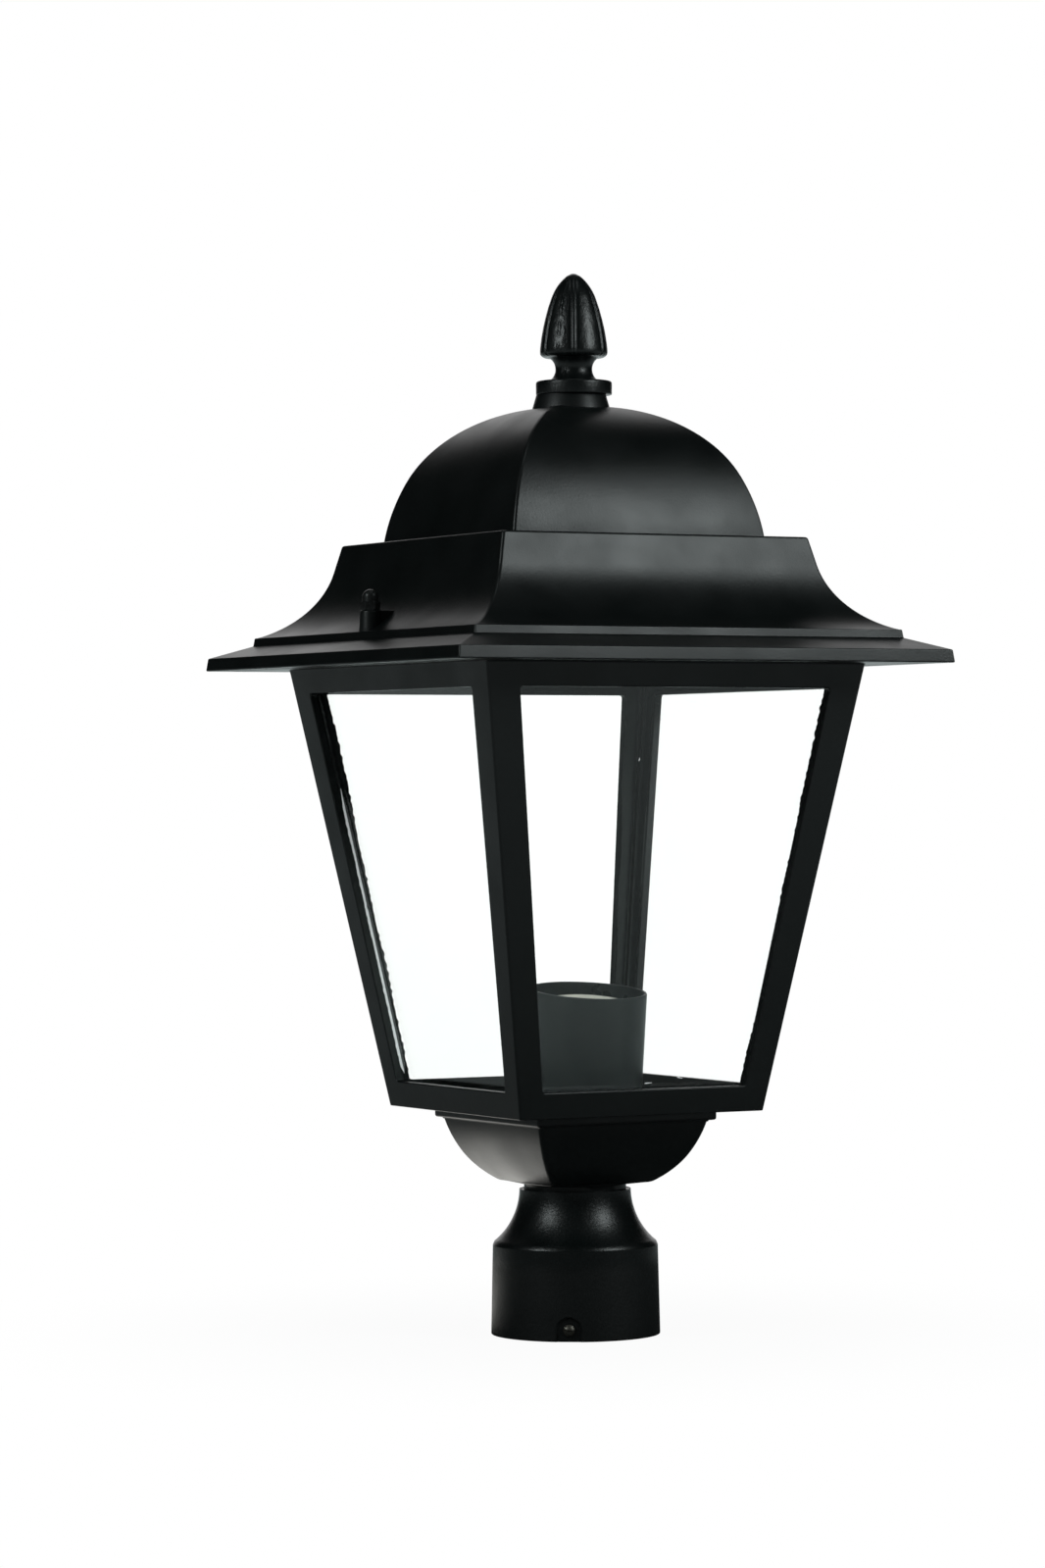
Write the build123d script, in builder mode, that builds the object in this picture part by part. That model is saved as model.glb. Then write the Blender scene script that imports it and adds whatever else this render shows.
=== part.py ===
from build123d import *

import math
import os

# Post top lantern in cast aluminium: a tapered four-post cage with flat glass, under
# a roof that lifts off once two cap nuts are undone, on a fitter for a round post.
#
# Millimetres, +Z up. The origin is the centre of the fitter's bottom rim. The front
# of the lantern faces -Y and its left side faces -X. The two roof ties are on the
# left and right sides.
#
# Heights below are measured up from the bottom rim. A square piece is described by
# its half width, from the lantern's axis to the middle of a side.

# Post fitter
POST_BORE_R = 38.5  # a 76 mm post slides in with about 0.4 mm to spare all round
POST_DEPTH = 40.0
SKIRT_R = 42.96
SHOULDER_R = 41.95
SHOULDER_Z = 45.3
FITTER_NECK_R = 28.3
FITTER_TOP_Z = 73.3
FLARE_R = 35.3  # radius of the hollow flare between shoulder and neck
FLARE_Z = 74.3  # height of its narrowest point
FLARE_FOOT_STEP = 0.75  # the shoulder's small step in to the flare
FITTER_WALL = 4.0
FITTER_WEB = 6.0
POST_STOP_W = 3.5  # ledge that the post's end meets

# Set screws, M6, evenly spaced round the skirt
SET_SCREW_R = 3.0
SET_SCREW_LENGTH = 5.0
SET_SCREW_Z = 5.8
SET_SCREW_FIRST = 236.0  # degrees from +X, so that one faces the front left corner
SET_SCREW_TIP = 39.1
SET_SCREW_PAD = 41.3  # distance of the flat pad from the axis
SET_SCREW_PAD_W = 13.0
SET_SCREW_SLOPE = -11.0  # turn of the slots
SLOT_W = 1.0
SLOT_DEPTH = 1.2
THREAD_GAP = 0.05

# Hollow nipple through fitter and bowl
NIPPLE_R = 10.0
NIPPLE_BORE_R = 7.8
NIPPLE_SPARE = 2.8  # length that stands past each locknut
LOCKNUT_FLATS = 27.0
LOCKNUT_H = 5.0

# Bowl: two arcs that meet smoothly, turns in degrees above the level
SPIGOT_R = 26.0
BOWL_Z = 76.4  # underside beside the spigot
BOWL_DRAFT = 0.088  # how much the underside rises per millimetre outwards
BOWL_FLOOR_Z = 81.2
BOWL_TURN = 1.8  # the bowl stands a little turned under the cage
BOWL_LOW_CENTRE = (5.5, 113.7)
BOWL_LOW_R = 43.2
BOWL_JOIN = -28.0
BOWL_HIGH_R = 67.4
BOWL_RIM_TURN = -13.8
BOWL_WALL = 4.0
BOWL_HIP_R = 3.0
FLANGE_Z = 109.2
FLANGE = 52.5
FLANGE_CORNER_R = 1.5
BOWL_SCREW_AT = 38.0
BOWL_BOSS_R = 5.2
BOWL_BOSS_DEPTH = 16.0
BOWL_SCREW_R = 2.5
BOWL_SCREW_LENGTH = 15.0

# Cage
CAGE_Z = 114.4
CAGE_FLOOR = 4.0
CAGE_TOP_Z = 338.5
CAGE_TOP = 107.65
CAGE_SLOPE = 0.1692  # half width gained per millimetre of height
CAGE_WALL = 4.6
CAGE_INNER_R = 4.0
CAGE_EDGE_R = 1.0
SILL_Z = 127.5
SILL = 58.0
HEAD_Z = 326.3
HEAD = 88.0
WINDOW_CORNER_R = 1.6
FLOOR_HOLE_R = 20.0
ROOF_FLANGE = 128.0
ROOF_FLANGE_H = 5.0
FLANGE_SLIT = (12.0, 0.7)  # width and height of the slit under each tie
FLANGE_SLIT_DEPTH = 1.5

# Glass
GLASS = 3.0
BEAD = 1.0
GLASS_TOP_Z = 333.0
GLASS_EDGE = 0.75  # gap left between two panes at a corner
BEAD_MARGIN = 2.0
BEAD_LAP = 0.5  # how far the bead stays behind the window's edge

# Roof: brim, lip and cove, the cove's arc from its foot to its head
BRIM = 140.0
BRIM_TOP = 139.1
BRIM_H = 6.7
BRIM_BEVEL = (0.9, 0.5)
BRIM_SEAT_GAP = 2.0
LIP = 121.5
LIP_Z = 351.2
COVE_CENTRE = (135.9, 399.2)
COVE_R = 46.6
COVE_FOOT = 251.0
COVE_HEAD = 194.4
ROOF_TOP = 87.2
ROOF_TOP_Z = 402.4
ROOF_TOP_EDGE_R = 1.8
ROOF_WALL = 4.5
ROOF_SEAT = 116.3
ROOF_OPENING = 50.0

# Roof ties, M5
TIE_X = 115.1
TIE_R = 2.5
TIE_TOP_Z = 373.0
TIE_BOSS_R = 5.9
TIE_BOSS_DRAFT = 2.6  # degrees
TIE_BOSS_Z = 365.8
TIE_ROOT_Z = 350.2  # where boss and web start inside the lip
TIE_WEB_W = 6.4
TIE_WEB = 9.0  # reach of the web towards the axis, past the boss
TIE_FOOT_R = 5.8  # boss under the brim
TIE_FOOT_Z = 357.0
TIE_HOLE_R = 2.9
CAP_NUT_FLATS = 8.4
CAP_NUT_HEX_H = 4.6
CAP_NUT_H = 10.7
CAP_NUT_BORE = 8.0
CAP_NUT_STEP = 0.1  # step in from the flats to the dome
CAP_NUT_TIP_R = 0.3  # flat left on top of the dome
CAP_NUT_TURN = 33.0

# Dome and collar: two arcs that meet smoothly, as on the bowl
DOME_HIGH_CENTRE = (6.7, 409.26)
DOME_HIGH_R = 61.5
DOME_JOIN = 23.4
DOME_LOW_R = 115.4
DOME_WALL = 4.0
DOME_TURN = -0.6  # the dome stands a little turned on the skirt
COLLAR_Z = 476.8
COLLAR_R = 17.7
COLLAR_FOOT_R = 20.0
COLLAR_FOOT_Z = 469.0
ROOF_SCREW_AT = 62.0
ROOF_SCREW_R = 2.5
ROOF_BOSS_R = 6.5
ROOF_BOSS_H = 14.0
ROOF_SCREW_LENGTH = 14.5

# Finial, which stands a little off the axis, as its stud was drilled
FINIAL_X = 1.27
FINIAL_Y = -0.7
DISC_R = 19.4
DISC_H = 7.0
DISC_EDGE_R = 1.4
NECK_CENTRE = (16.3, 489.9)
NECK_HOLLOW_R = 6.95
ACORN_FOOT = (16.1, 496.4)
ACORN_WIDE = (17.15, 498.0)
ACORN_SHOULDER = 1.0  # height of the curve from there to the acorn's side
ACORN_LOW_CENTRE = (-91.4, 489.2)
ACORN_LOW_R = 109.1
ACORN_HIGH_CENTRE = (-13.2, 517.3)
ACORN_HIGH_R = 26.0
ACORN_JOIN_Z = 526.5
TIP_Z = 538.6
TIP_R = 1.6
RIB_PROUD = 0.45  # how far the ribs stand out of the lobes
RIB_W = 1.6
RIBS = 6
RIB_FIRST = 241.2
STUD_R = 3.0
STUD_REACH = 25.0  # how far the stud goes up into the finial
FINIAL_WASHER_R = 9.0
FINIAL_WASHER_H = 1.2
FINIAL_NUT_FLATS = 10.0
FINIAL_NUT_H = 5.0

# Lampholder: it leans a little towards the front on its twisted strap
HOLDER_X = 3.0
HOLDER_Y = -2.0
HOLDER_Z = 123.1
HOLDER_LEAN = 6.6
CUP_R = 30.0
CUP_H = 52.0
CUP_WALL = 1.5
CUP_FOOT_EDGE_R = 3.0
CUP_LIP_R = 0.6
BODY_R = 18.7
BODY_FOOT_R = 15.5
BODY_TOP = 47.3
BODY_STEP = 22.0
BODY_RIM_R = 1.2
SHELL_R = 13.9
SHELL_BORE_R = 13.3
SHELL_FOOT = 22.0
SHELL_TOP = 40.0
POCKET_R = 12.5
POCKET_FOOT = 17.0
CONTACT_R = 3.5
CONTACT_HEAD = 1.2
CONTACT_TOP = 21.5
CONTACT_FOOT = 12.0
CONTACT_SHANK_R = 1.9
CONTACT_HOLE_R = 1.95
TERMINAL_R = 1.6
TERMINAL_Z = 13.5
TERMINAL_LENGTH = 4.0
STEM_R = 5.0
STEM_BORE_R = 3.6
STEM_FOOT = -8.0
STEM_TOP = 9.5
STEM_NUT_FLATS = 15.0
STEM_NUT_H = 4.0
STRAP_T = 2.0
STRAP_W = 22.0
STRAP_TABLE = 24.0
STRAP_FOOT = 34.0
STRAP_END = 46.0
STRAP_SCREW_AT = 40.0
STRAP_SCREW_R = 2.0
EARTH_SCREW_AT = (-34.0, 26.0)

# Heads of the slotted screws
M5_HEAD_R = 4.6
M5_HEAD_H = 3.2
M4_HEAD_R = 3.8
M4_HEAD_H = 2.5
M3_HEAD_R = 2.8
M3_HEAD_H = 1.9
HEAD_ROUND = 0.35  # share of a head's height that its round edge takes
HOLE_SPARE = 1.0  # depth of a blind hole past its screw

FLOOR_Z = CAGE_Z + CAGE_FLOOR
LEAN = math.radians(HOLDER_LEAN)
FACES = {"front": 0, "right": 90, "back": 180, "left": 270}


def cage_half(z):
    """Half width of the cage's outer faces at height z."""
    return CAGE_TOP + CAGE_SLOPE * (z - CAGE_TOP_Z)


def square_corners(half, turn=0):
    """Corners of a square about the axis, turned by turn degrees."""
    return [on_arc((0, 0), half * math.sqrt(2), 45 + 90 * corner + turn) for corner in range(4)]


def circle_point(centre, radius, x):
    """Height of the lower half of a circle at x."""
    return centre[1] - math.sqrt(radius**2 - (x - centre[0]) ** 2)


def on_arc(centre, radius, turn):
    """Point on a circle, turn in degrees from +X."""
    angle = math.radians(turn)
    return (centre[0] + radius * math.cos(angle), centre[1] + radius * math.sin(angle))


def turn_at(centre, radius, z):
    """Turn of the point at height z on the outer half of a circle."""
    return math.degrees(math.asin((z - centre[1]) / radius))


def arc_line(centre, radius, first, last):
    """Arc of a circle from one turn to another."""
    with BuildLine() as line:
        ThreePointArc(
            on_arc(centre, radius, first),
            on_arc(centre, radius, (first + last) / 2),
            on_arc(centre, radius, last),
        )
    return line.line


def holder_plane(height):
    """Plane across the leaning lampholder, height above its foot."""
    axis = Vector(0, -math.sin(LEAN), math.cos(LEAN))
    foot = Vector(HOLDER_X, HOLDER_Y, HOLDER_Z)
    return Plane(origin=foot + axis * height, x_dir=(1, 0, 0), z_dir=axis)


def terminal_plane(side):
    """Plane on the porcelain's left (-1) or right (1) side, square to its terminal screw."""
    axis = holder_plane(0).z_dir
    origin = holder_plane(TERMINAL_Z).origin + Vector(side * BODY_FOOT_R, 0, 0)
    return Plane(origin=origin, x_dir=axis, z_dir=(side, 0, 0))


def set_screw_plane(angle, distance):
    """Plane square to a set screw, distance from the lantern's axis."""
    out = Vector(math.cos(math.radians(angle)), math.sin(math.radians(angle)), 0)
    return Plane(
        origin=out * distance + Vector(0, 0, SET_SCREW_Z),
        x_dir=Vector(-out.Y, out.X, 0),
        z_dir=out,
    )


def square_plan(half_profile):
    """Solid whose half width at each height is the profile's, on all four sides."""
    with BuildPart() as solid:
        with BuildSketch(Plane.XZ):
            add(half_profile)
            mirror(about=Plane.YZ)
        extrude(amount=2 * BRIM, both=True)
        with BuildSketch(Plane.YZ):
            add(half_profile)
            mirror(about=Plane.YZ)
        extrude(amount=2 * BRIM, both=True, mode=Mode.INTERSECT)
    return solid.part


def screw(plane, shank_r, length, head_r, head_h):
    """Slotted screw: its shank goes down from the plane, its head stands on it."""
    with BuildPart() as made:
        with BuildSketch(plane):
            Circle(shank_r)
        extrude(amount=-length)
        with BuildSketch(plane):
            Circle(head_r)
        extrude(amount=head_h)
        fillet(made.faces().sort_by(Axis(plane.origin, plane.z_dir))[-1].edges(), head_h * HEAD_ROUND)
        with BuildSketch(plane.offset(head_h / 2)):
            Rectangle(2 * head_r + 1, SLOT_W)
        extrude(amount=head_h, mode=Mode.SUBTRACT)
    return made.part


def hex_nut(plane, flats, height, hole_r):
    """Hexagon nut standing on a plane, its corners turned off at the top."""
    corner_r = flats / math.sqrt(3)
    with BuildPart() as turned:
        with BuildSketch(plane):
            Circle(corner_r)
            Circle(hole_r, mode=Mode.SUBTRACT)
        extrude(amount=height)
        top = turned.faces().sort_by(Axis(plane.origin, plane.z_dir))[-1]
        chamfer(top.edges().sort_by(SortBy.LENGTH)[-1], corner_r - flats / 2)
    with BuildPart() as made:
        with BuildSketch(plane):
            RegularPolygon(flats / 2, 6, major_radius=False)
        extrude(amount=height)
        add(turned.part, mode=Mode.INTERSECT)
    return made.part


# Fitter: a turned outline, with three arched pads for the set screws.
flare_centre = (FITTER_NECK_R + FLARE_R, FLARE_Z)
neck_top_r = flare_centre[0] - math.sqrt(FLARE_R**2 - (FLARE_Z - FITTER_TOP_Z) ** 2)
flare_foot_r = SHOULDER_R - FLARE_FOOT_STEP
flare_foot_z = circle_point(flare_centre, FLARE_R, flare_foot_r)
flare_mid_r = (flare_foot_r + 2 * FITTER_NECK_R) / 3
flare_mid_z = circle_point(flare_centre, FLARE_R, flare_mid_r)
inside_foot_r = POST_BORE_R - POST_STOP_W
inside_foot_z = circle_point(flare_centre, FLARE_R + FITTER_WALL, inside_foot_r)
web_z = FITTER_TOP_Z - FITTER_WEB
inside_top_r = flare_centre[0] - math.sqrt((FLARE_R + FITTER_WALL) ** 2 - (FLARE_Z - web_z) ** 2)
inside_mid_r = (inside_foot_r + 2 * inside_top_r) / 3
inside_mid_z = circle_point(flare_centre, FLARE_R + FITTER_WALL, inside_mid_r)

with BuildPart() as fitter:
    with BuildSketch(Plane.XZ):
        with BuildLine():
            Polyline(
                (POST_BORE_R, 0),
                (SKIRT_R, 0),
                (SHOULDER_R, SHOULDER_Z),
                (flare_foot_r, flare_foot_z),
            )
            ThreePointArc(
                (flare_foot_r, flare_foot_z),
                (flare_mid_r, flare_mid_z),
                (neck_top_r, FITTER_TOP_Z),
            )
            Polyline(
                (neck_top_r, FITTER_TOP_Z),
                (NIPPLE_R, FITTER_TOP_Z),
                (NIPPLE_R, web_z),
                (inside_top_r, web_z),
            )
            ThreePointArc(
                (inside_top_r, web_z),
                (inside_mid_r, inside_mid_z),
                (inside_foot_r, inside_foot_z),
            )
            Polyline(
                (inside_foot_r, inside_foot_z),
                (inside_foot_r, POST_DEPTH),
                (POST_BORE_R, POST_DEPTH),
                (POST_BORE_R, 0),
            )
        make_face()
    revolve(axis=Axis.Z)
    for turn in range(3):
        angle = SET_SCREW_FIRST + 120 * turn
        with BuildSketch(set_screw_plane(angle, SET_SCREW_PAD)):
            Circle(SET_SCREW_PAD_W / 2)
            with Locations((0, -SET_SCREW_PAD_W / 2)):
                Rectangle(SET_SCREW_PAD_W, SET_SCREW_PAD_W)
        extrude(amount=SKIRT_R, mode=Mode.SUBTRACT)
        with BuildSketch(set_screw_plane(angle, 0)):
            Circle(SET_SCREW_R + THREAD_GAP)
        extrude(amount=SKIRT_R, mode=Mode.SUBTRACT)

# Set screws
set_screws = {}
for turn in range(3):
    angle = SET_SCREW_FIRST + 120 * turn
    with BuildPart() as set_screw:
        with BuildSketch(set_screw_plane(angle, SET_SCREW_TIP)):
            Circle(SET_SCREW_R)
        extrude(amount=SET_SCREW_LENGTH)
        head = set_screw_plane(angle, SET_SCREW_TIP + SET_SCREW_LENGTH - SLOT_DEPTH)
        with BuildSketch(head):
            Rectangle(2 * SET_SCREW_R + 1, SLOT_W, rotation=SET_SCREW_SLOPE)
        extrude(amount=2 * SLOT_DEPTH, mode=Mode.SUBTRACT)
    set_screws[f"set_screw_{turn + 1}"] = set_screw.part

# Nipple and its two locknuts
nipple_foot = web_z - LOCKNUT_H - NIPPLE_SPARE
nipple_top = BOWL_FLOOR_Z + LOCKNUT_H + NIPPLE_SPARE
with BuildPart() as wireway_nipple:
    with BuildSketch(Plane.XY.offset(nipple_foot)):
        Circle(NIPPLE_R)
        Circle(NIPPLE_BORE_R, mode=Mode.SUBTRACT)
    extrude(amount=nipple_top - nipple_foot)
lower_locknut = hex_nut(Plane.XY.offset(web_z - LOCKNUT_H), LOCKNUT_FLATS, LOCKNUT_H, NIPPLE_R)
upper_locknut = hex_nut(Plane.XY.offset(BOWL_FLOOR_Z), LOCKNUT_FLATS, LOCKNUT_H, NIPPLE_R)


def bowl_half(wall, foot_z):
    """Right half of the bowl's outline, drawn in by wall, down to foot_z."""
    high_centre = on_arc(BOWL_LOW_CENTRE, BOWL_LOW_R - BOWL_HIGH_R, BOWL_JOIN)
    foot_turn = turn_at(BOWL_LOW_CENTRE, BOWL_LOW_R - wall, foot_z)
    foot = on_arc(BOWL_LOW_CENTRE, BOWL_LOW_R - wall, foot_turn)
    rim = on_arc(high_centre, BOWL_HIGH_R - wall, BOWL_RIM_TURN)
    with BuildSketch() as half:
        with BuildLine():
            Polyline((0, CAGE_Z), (0, foot_z), foot)
            add(arc_line(BOWL_LOW_CENTRE, BOWL_LOW_R - wall, foot_turn, BOWL_JOIN))
            add(arc_line(high_centre, BOWL_HIGH_R - wall, BOWL_JOIN, BOWL_RIM_TURN))
            Polyline(rim, (rim[0], CAGE_Z), (0, CAGE_Z))
        make_face()
    return half.sketch


# Bowl: a square rounded body with soft hips, a flange and a round spigot. Its
# underside is a shallow cone, so the corners end higher than the middles.
bowl_body = square_plan(bowl_half(0, BOWL_Z))
bowl_hollow = square_plan(bowl_half(BOWL_WALL, BOWL_FLOOR_Z))
bowl_corners = square_corners(BOWL_SCREW_AT)
cone_reach = 2 * FLANGE
cone_z = BOWL_Z + BOWL_DRAFT * (cone_reach - SPIGOT_R)
with BuildPart() as bowl:
    add(bowl_body)
    hips = bowl.edges().filter_by(lambda e: abs(abs(e.center().X) - abs(e.center().Y)) < 0.01
                                  and abs(e.center().X) > 1)
    fillet(hips, BOWL_HIP_R)
    with BuildSketch(Plane.XZ):
        Polygon(
            (SPIGOT_R, BOWL_Z - BOWL_WALL),
            (cone_reach, BOWL_Z - BOWL_WALL),
            (cone_reach, cone_z),
            (SPIGOT_R, BOWL_Z),
            align=None,
        )
    revolve(axis=Axis.Z, mode=Mode.SUBTRACT)
    with BuildSketch(Plane.XY.offset(FLANGE_Z)):
        RectangleRounded(2 * FLANGE, 2 * FLANGE, FLANGE_CORNER_R)
    extrude(amount=CAGE_Z - FLANGE_Z)
    with BuildSketch(Plane.XY.offset(FITTER_TOP_Z)):
        Circle(SPIGOT_R)
    extrude(amount=BOWL_Z - FITTER_TOP_Z)
    add(bowl_hollow, mode=Mode.SUBTRACT)
    with BuildSketch(Plane.XY.offset(CAGE_Z)):
        with Locations(bowl_corners):
            Circle(BOWL_BOSS_R)
    extrude(amount=-BOWL_BOSS_DEPTH)
    with BuildSketch(Plane.XY.offset(CAGE_Z)):
        with Locations(bowl_corners):
            Circle(BOWL_SCREW_R)
    extrude(amount=CAGE_FLOOR - BOWL_SCREW_LENGTH - HOLE_SPARE, mode=Mode.SUBTRACT)
    with BuildSketch(Plane.XY.offset(FITTER_TOP_Z)):
        Circle(NIPPLE_R)
    extrude(amount=BOWL_FLOOR_Z - FITTER_TOP_Z, mode=Mode.SUBTRACT)
turned_bowl = bowl.part.rotate(Axis.Z, BOWL_TURN)
bowl_screw_places = square_corners(BOWL_SCREW_AT, BOWL_TURN)

# Cage: a hollow pyramid frustum with four windows, a floor and a flange on top.
taper = math.degrees(math.atan(CAGE_SLOPE))
with BuildPart() as cage_hollow:
    with BuildSketch(Plane.XY.offset(CAGE_TOP_Z)):
        Rectangle(2 * (CAGE_TOP - CAGE_WALL), 2 * (CAGE_TOP - CAGE_WALL))
    extrude(amount=-(CAGE_TOP_Z - FLOOR_Z), taper=taper)
    upright = cage_hollow.edges().filter_by(lambda e: e.length > 100 and abs(e.center().X) > 1
                                            and abs(e.center().Y) > 1)
    fillet(upright, CAGE_INNER_R)
with BuildPart() as cage:
    with BuildSketch(Plane.XY.offset(CAGE_TOP_Z)):
        Rectangle(2 * CAGE_TOP, 2 * CAGE_TOP)
    extrude(amount=-(CAGE_TOP_Z - CAGE_Z), taper=taper)
    upright = cage.edges().filter_by(lambda e: abs(e.center().X) > 1 and abs(e.center().Y) > 1)
    fillet(upright + cage.faces().sort_by(Axis.Z)[0].edges(), CAGE_EDGE_R)
    with BuildSketch(Plane.XY.offset(CAGE_TOP_Z)):
        Rectangle(2 * ROOF_FLANGE, 2 * ROOF_FLANGE)
        Rectangle(2 * (CAGE_TOP - CAGE_WALL), 2 * (CAGE_TOP - CAGE_WALL), mode=Mode.SUBTRACT)
    extrude(amount=ROOF_FLANGE_H)
    add(cage_hollow.part, mode=Mode.SUBTRACT)
    for face_plane in (Plane.XZ, Plane.YZ):
        with BuildSketch(face_plane) as window:
            with BuildLine():
                Polyline((-SILL, SILL_Z), (SILL, SILL_Z), (HEAD, HEAD_Z), (-HEAD, HEAD_Z), close=True)
            make_face()
            fillet(window.vertices(), WINDOW_CORNER_R)
        extrude(amount=ROOF_FLANGE, both=True, mode=Mode.SUBTRACT)
    with BuildSketch(Plane.XY.offset(CAGE_Z)):
        Circle(FLOOR_HOLE_R)
        with Locations(bowl_screw_places):
            Circle(BOWL_SCREW_R)
        with Locations((HOLDER_X - STRAP_SCREW_AT, HOLDER_Y), (HOLDER_X + STRAP_SCREW_AT, HOLDER_Y)):
            Circle(STRAP_SCREW_R)
        with Locations(EARTH_SCREW_AT):
            Circle(STRAP_SCREW_R)
    extrude(amount=CAGE_FLOOR, mode=Mode.SUBTRACT)
    with BuildSketch(Plane.XY.offset(CAGE_TOP_Z)):
        with Locations((-TIE_X, 0), (TIE_X, 0)):
            Circle(TIE_R)
    extrude(amount=ROOF_FLANGE_H, mode=Mode.SUBTRACT)
    with BuildSketch(Plane.XY.offset(CAGE_TOP_Z)):
        with Locations((-CAGE_TOP, 0), (CAGE_TOP, 0)):
            Rectangle(2 * FLANGE_SLIT_DEPTH, FLANGE_SLIT[0])
    extrude(amount=-FLANGE_SLIT[1], mode=Mode.SUBTRACT)


def face_plane_at(distance_in):
    """Plane of the front side, distance_in behind the cage's outer face, at floor height."""
    outward = Vector(0, -1, -CAGE_SLOPE).normalized()
    origin = Vector(0, -cage_half(FLOOR_Z), FLOOR_Z) - outward * distance_in
    lift = (FLOOR_Z - origin.Z) / math.cos(math.radians(taper))
    up = Vector(0, -CAGE_SLOPE, 1).normalized()
    return Plane(origin=origin + up * lift, x_dir=(1, 0, 0), z_dir=outward)


def trapezoid(foot, foot_z, head, head_z):
    """Face with a level foot and head, drawn up the slope of a side."""
    stretch = 1 / math.cos(math.radians(taper))
    low = (foot_z - FLOOR_Z) * stretch
    high = (head_z - FLOOR_Z) * stretch
    with BuildSketch() as half:
        with BuildLine():
            Polyline((-foot, low), (foot, low), (head, high), (-head, high), close=True)
        make_face()
    return half.sketch


# Panes and the beads of sealant behind the window frames
wall_depth = CAGE_WALL * math.cos(math.radians(taper))
pane_depth = wall_depth + BEAD + GLASS
pane_foot_z = FLOOR_Z + GLASS * math.sin(math.radians(taper))
pane_foot = cage_half(FLOOR_Z) - pane_depth / math.cos(math.radians(taper)) - GLASS_EDGE
pane_head = cage_half(GLASS_TOP_Z) - pane_depth / math.cos(math.radians(taper)) - GLASS_EDGE
with BuildPart() as pane:
    with BuildSketch(face_plane_at(pane_depth)):
        add(trapezoid(pane_foot, pane_foot_z, pane_head, GLASS_TOP_Z))
    extrude(amount=GLASS)
with BuildPart() as bead:
    with BuildSketch(face_plane_at(wall_depth + BEAD)):
        add(trapezoid(pane_foot - BEAD_MARGIN / 2, FLOOR_Z + BEAD_MARGIN, pane_head - BEAD_MARGIN,
                      GLASS_TOP_Z - BEAD_MARGIN))
        add(trapezoid(SILL + BEAD_LAP, SILL_Z - BEAD_LAP, HEAD + BEAD_LAP, HEAD_Z + BEAD_LAP),
            mode=Mode.SUBTRACT)
    extrude(amount=BEAD)
panes = {f"glass_{name}": pane.part.rotate(Axis.Z, turn) for name, turn in FACES.items()}
glazing_beads = Compound(children=[bead.part.rotate(Axis.Z, turn) for turn in FACES.values()])


# Screws of the body
def floor_screw(x, y, shank_r, length, head_r, head_h, z=FLOOR_Z):
    """Upright screw whose head stands at height z."""
    return screw(Plane(origin=(x, y, z)), shank_r, length, head_r, head_h)


bowl_screws = Compound(children=[
    floor_screw(x, y, BOWL_SCREW_R, BOWL_SCREW_LENGTH, M5_HEAD_R, M5_HEAD_H)
    for x, y in bowl_screw_places
])
strap_screws = Compound(children=[
    floor_screw(HOLDER_X + side * STRAP_SCREW_AT, HOLDER_Y, STRAP_SCREW_R, STRAP_T + CAGE_FLOOR,
                M4_HEAD_R, M4_HEAD_H, FLOOR_Z + STRAP_T)
    for side in (-1, 1)
])
earth_screw = floor_screw(*EARTH_SCREW_AT, STRAP_SCREW_R, CAGE_FLOOR, M4_HEAD_R, M4_HEAD_H)


# Lampholder strap: two feet on the floor, twisted up to a leaning table
def strap_section(x, leaning):
    """Plane and turn of the strap's cross-section at x."""
    if leaning:
        centre = holder_plane(-STRAP_T / 2).origin
        across = (0, math.cos(LEAN), math.sin(LEAN))
        return Plane(origin=(x, centre.Y, centre.Z), x_dir=across, z_dir=(1, 0, 0))
    return Plane(origin=(x, HOLDER_Y, FLOOR_Z + STRAP_T / 2), x_dir=(0, 1, 0), z_dir=(1, 0, 0))


with BuildPart() as lampholder_strap:
    with BuildSketch(strap_section(HOLDER_X - STRAP_TABLE, True)):
        Rectangle(STRAP_W, STRAP_T)
    extrude(amount=2 * STRAP_TABLE)
    for side in (-1, 1):
        with BuildSketch(strap_section(HOLDER_X + side * STRAP_TABLE, True)):
            Rectangle(STRAP_W, STRAP_T)
        with BuildSketch(strap_section(HOLDER_X + side * STRAP_FOOT, False)):
            Rectangle(STRAP_W, STRAP_T)
        loft(ruled=True)
        with BuildSketch(strap_section(HOLDER_X + side * STRAP_FOOT, False)):
            Rectangle(STRAP_W, STRAP_T)
        extrude(amount=side * (STRAP_END - STRAP_FOOT))
    with BuildSketch(Plane.XY.offset(FLOOR_Z)):
        with Locations((HOLDER_X - STRAP_SCREW_AT, HOLDER_Y), (HOLDER_X + STRAP_SCREW_AT, HOLDER_Y)):
            Circle(STRAP_SCREW_R)
    extrude(amount=STRAP_T, mode=Mode.SUBTRACT)
    with BuildSketch(holder_plane(-STRAP_T)):
        Circle(STEM_R)
    extrude(amount=STRAP_T, mode=Mode.SUBTRACT)

with BuildPart() as lampholder_stem:
    with BuildSketch(holder_plane(STEM_FOOT)):
        Circle(STEM_R)
        Circle(STEM_BORE_R, mode=Mode.SUBTRACT)
    extrude(amount=STEM_TOP - STEM_FOOT)
stem_nut = hex_nut(holder_plane(-STRAP_T - STEM_NUT_H), STEM_NUT_FLATS, STEM_NUT_H, STEM_R)

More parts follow.
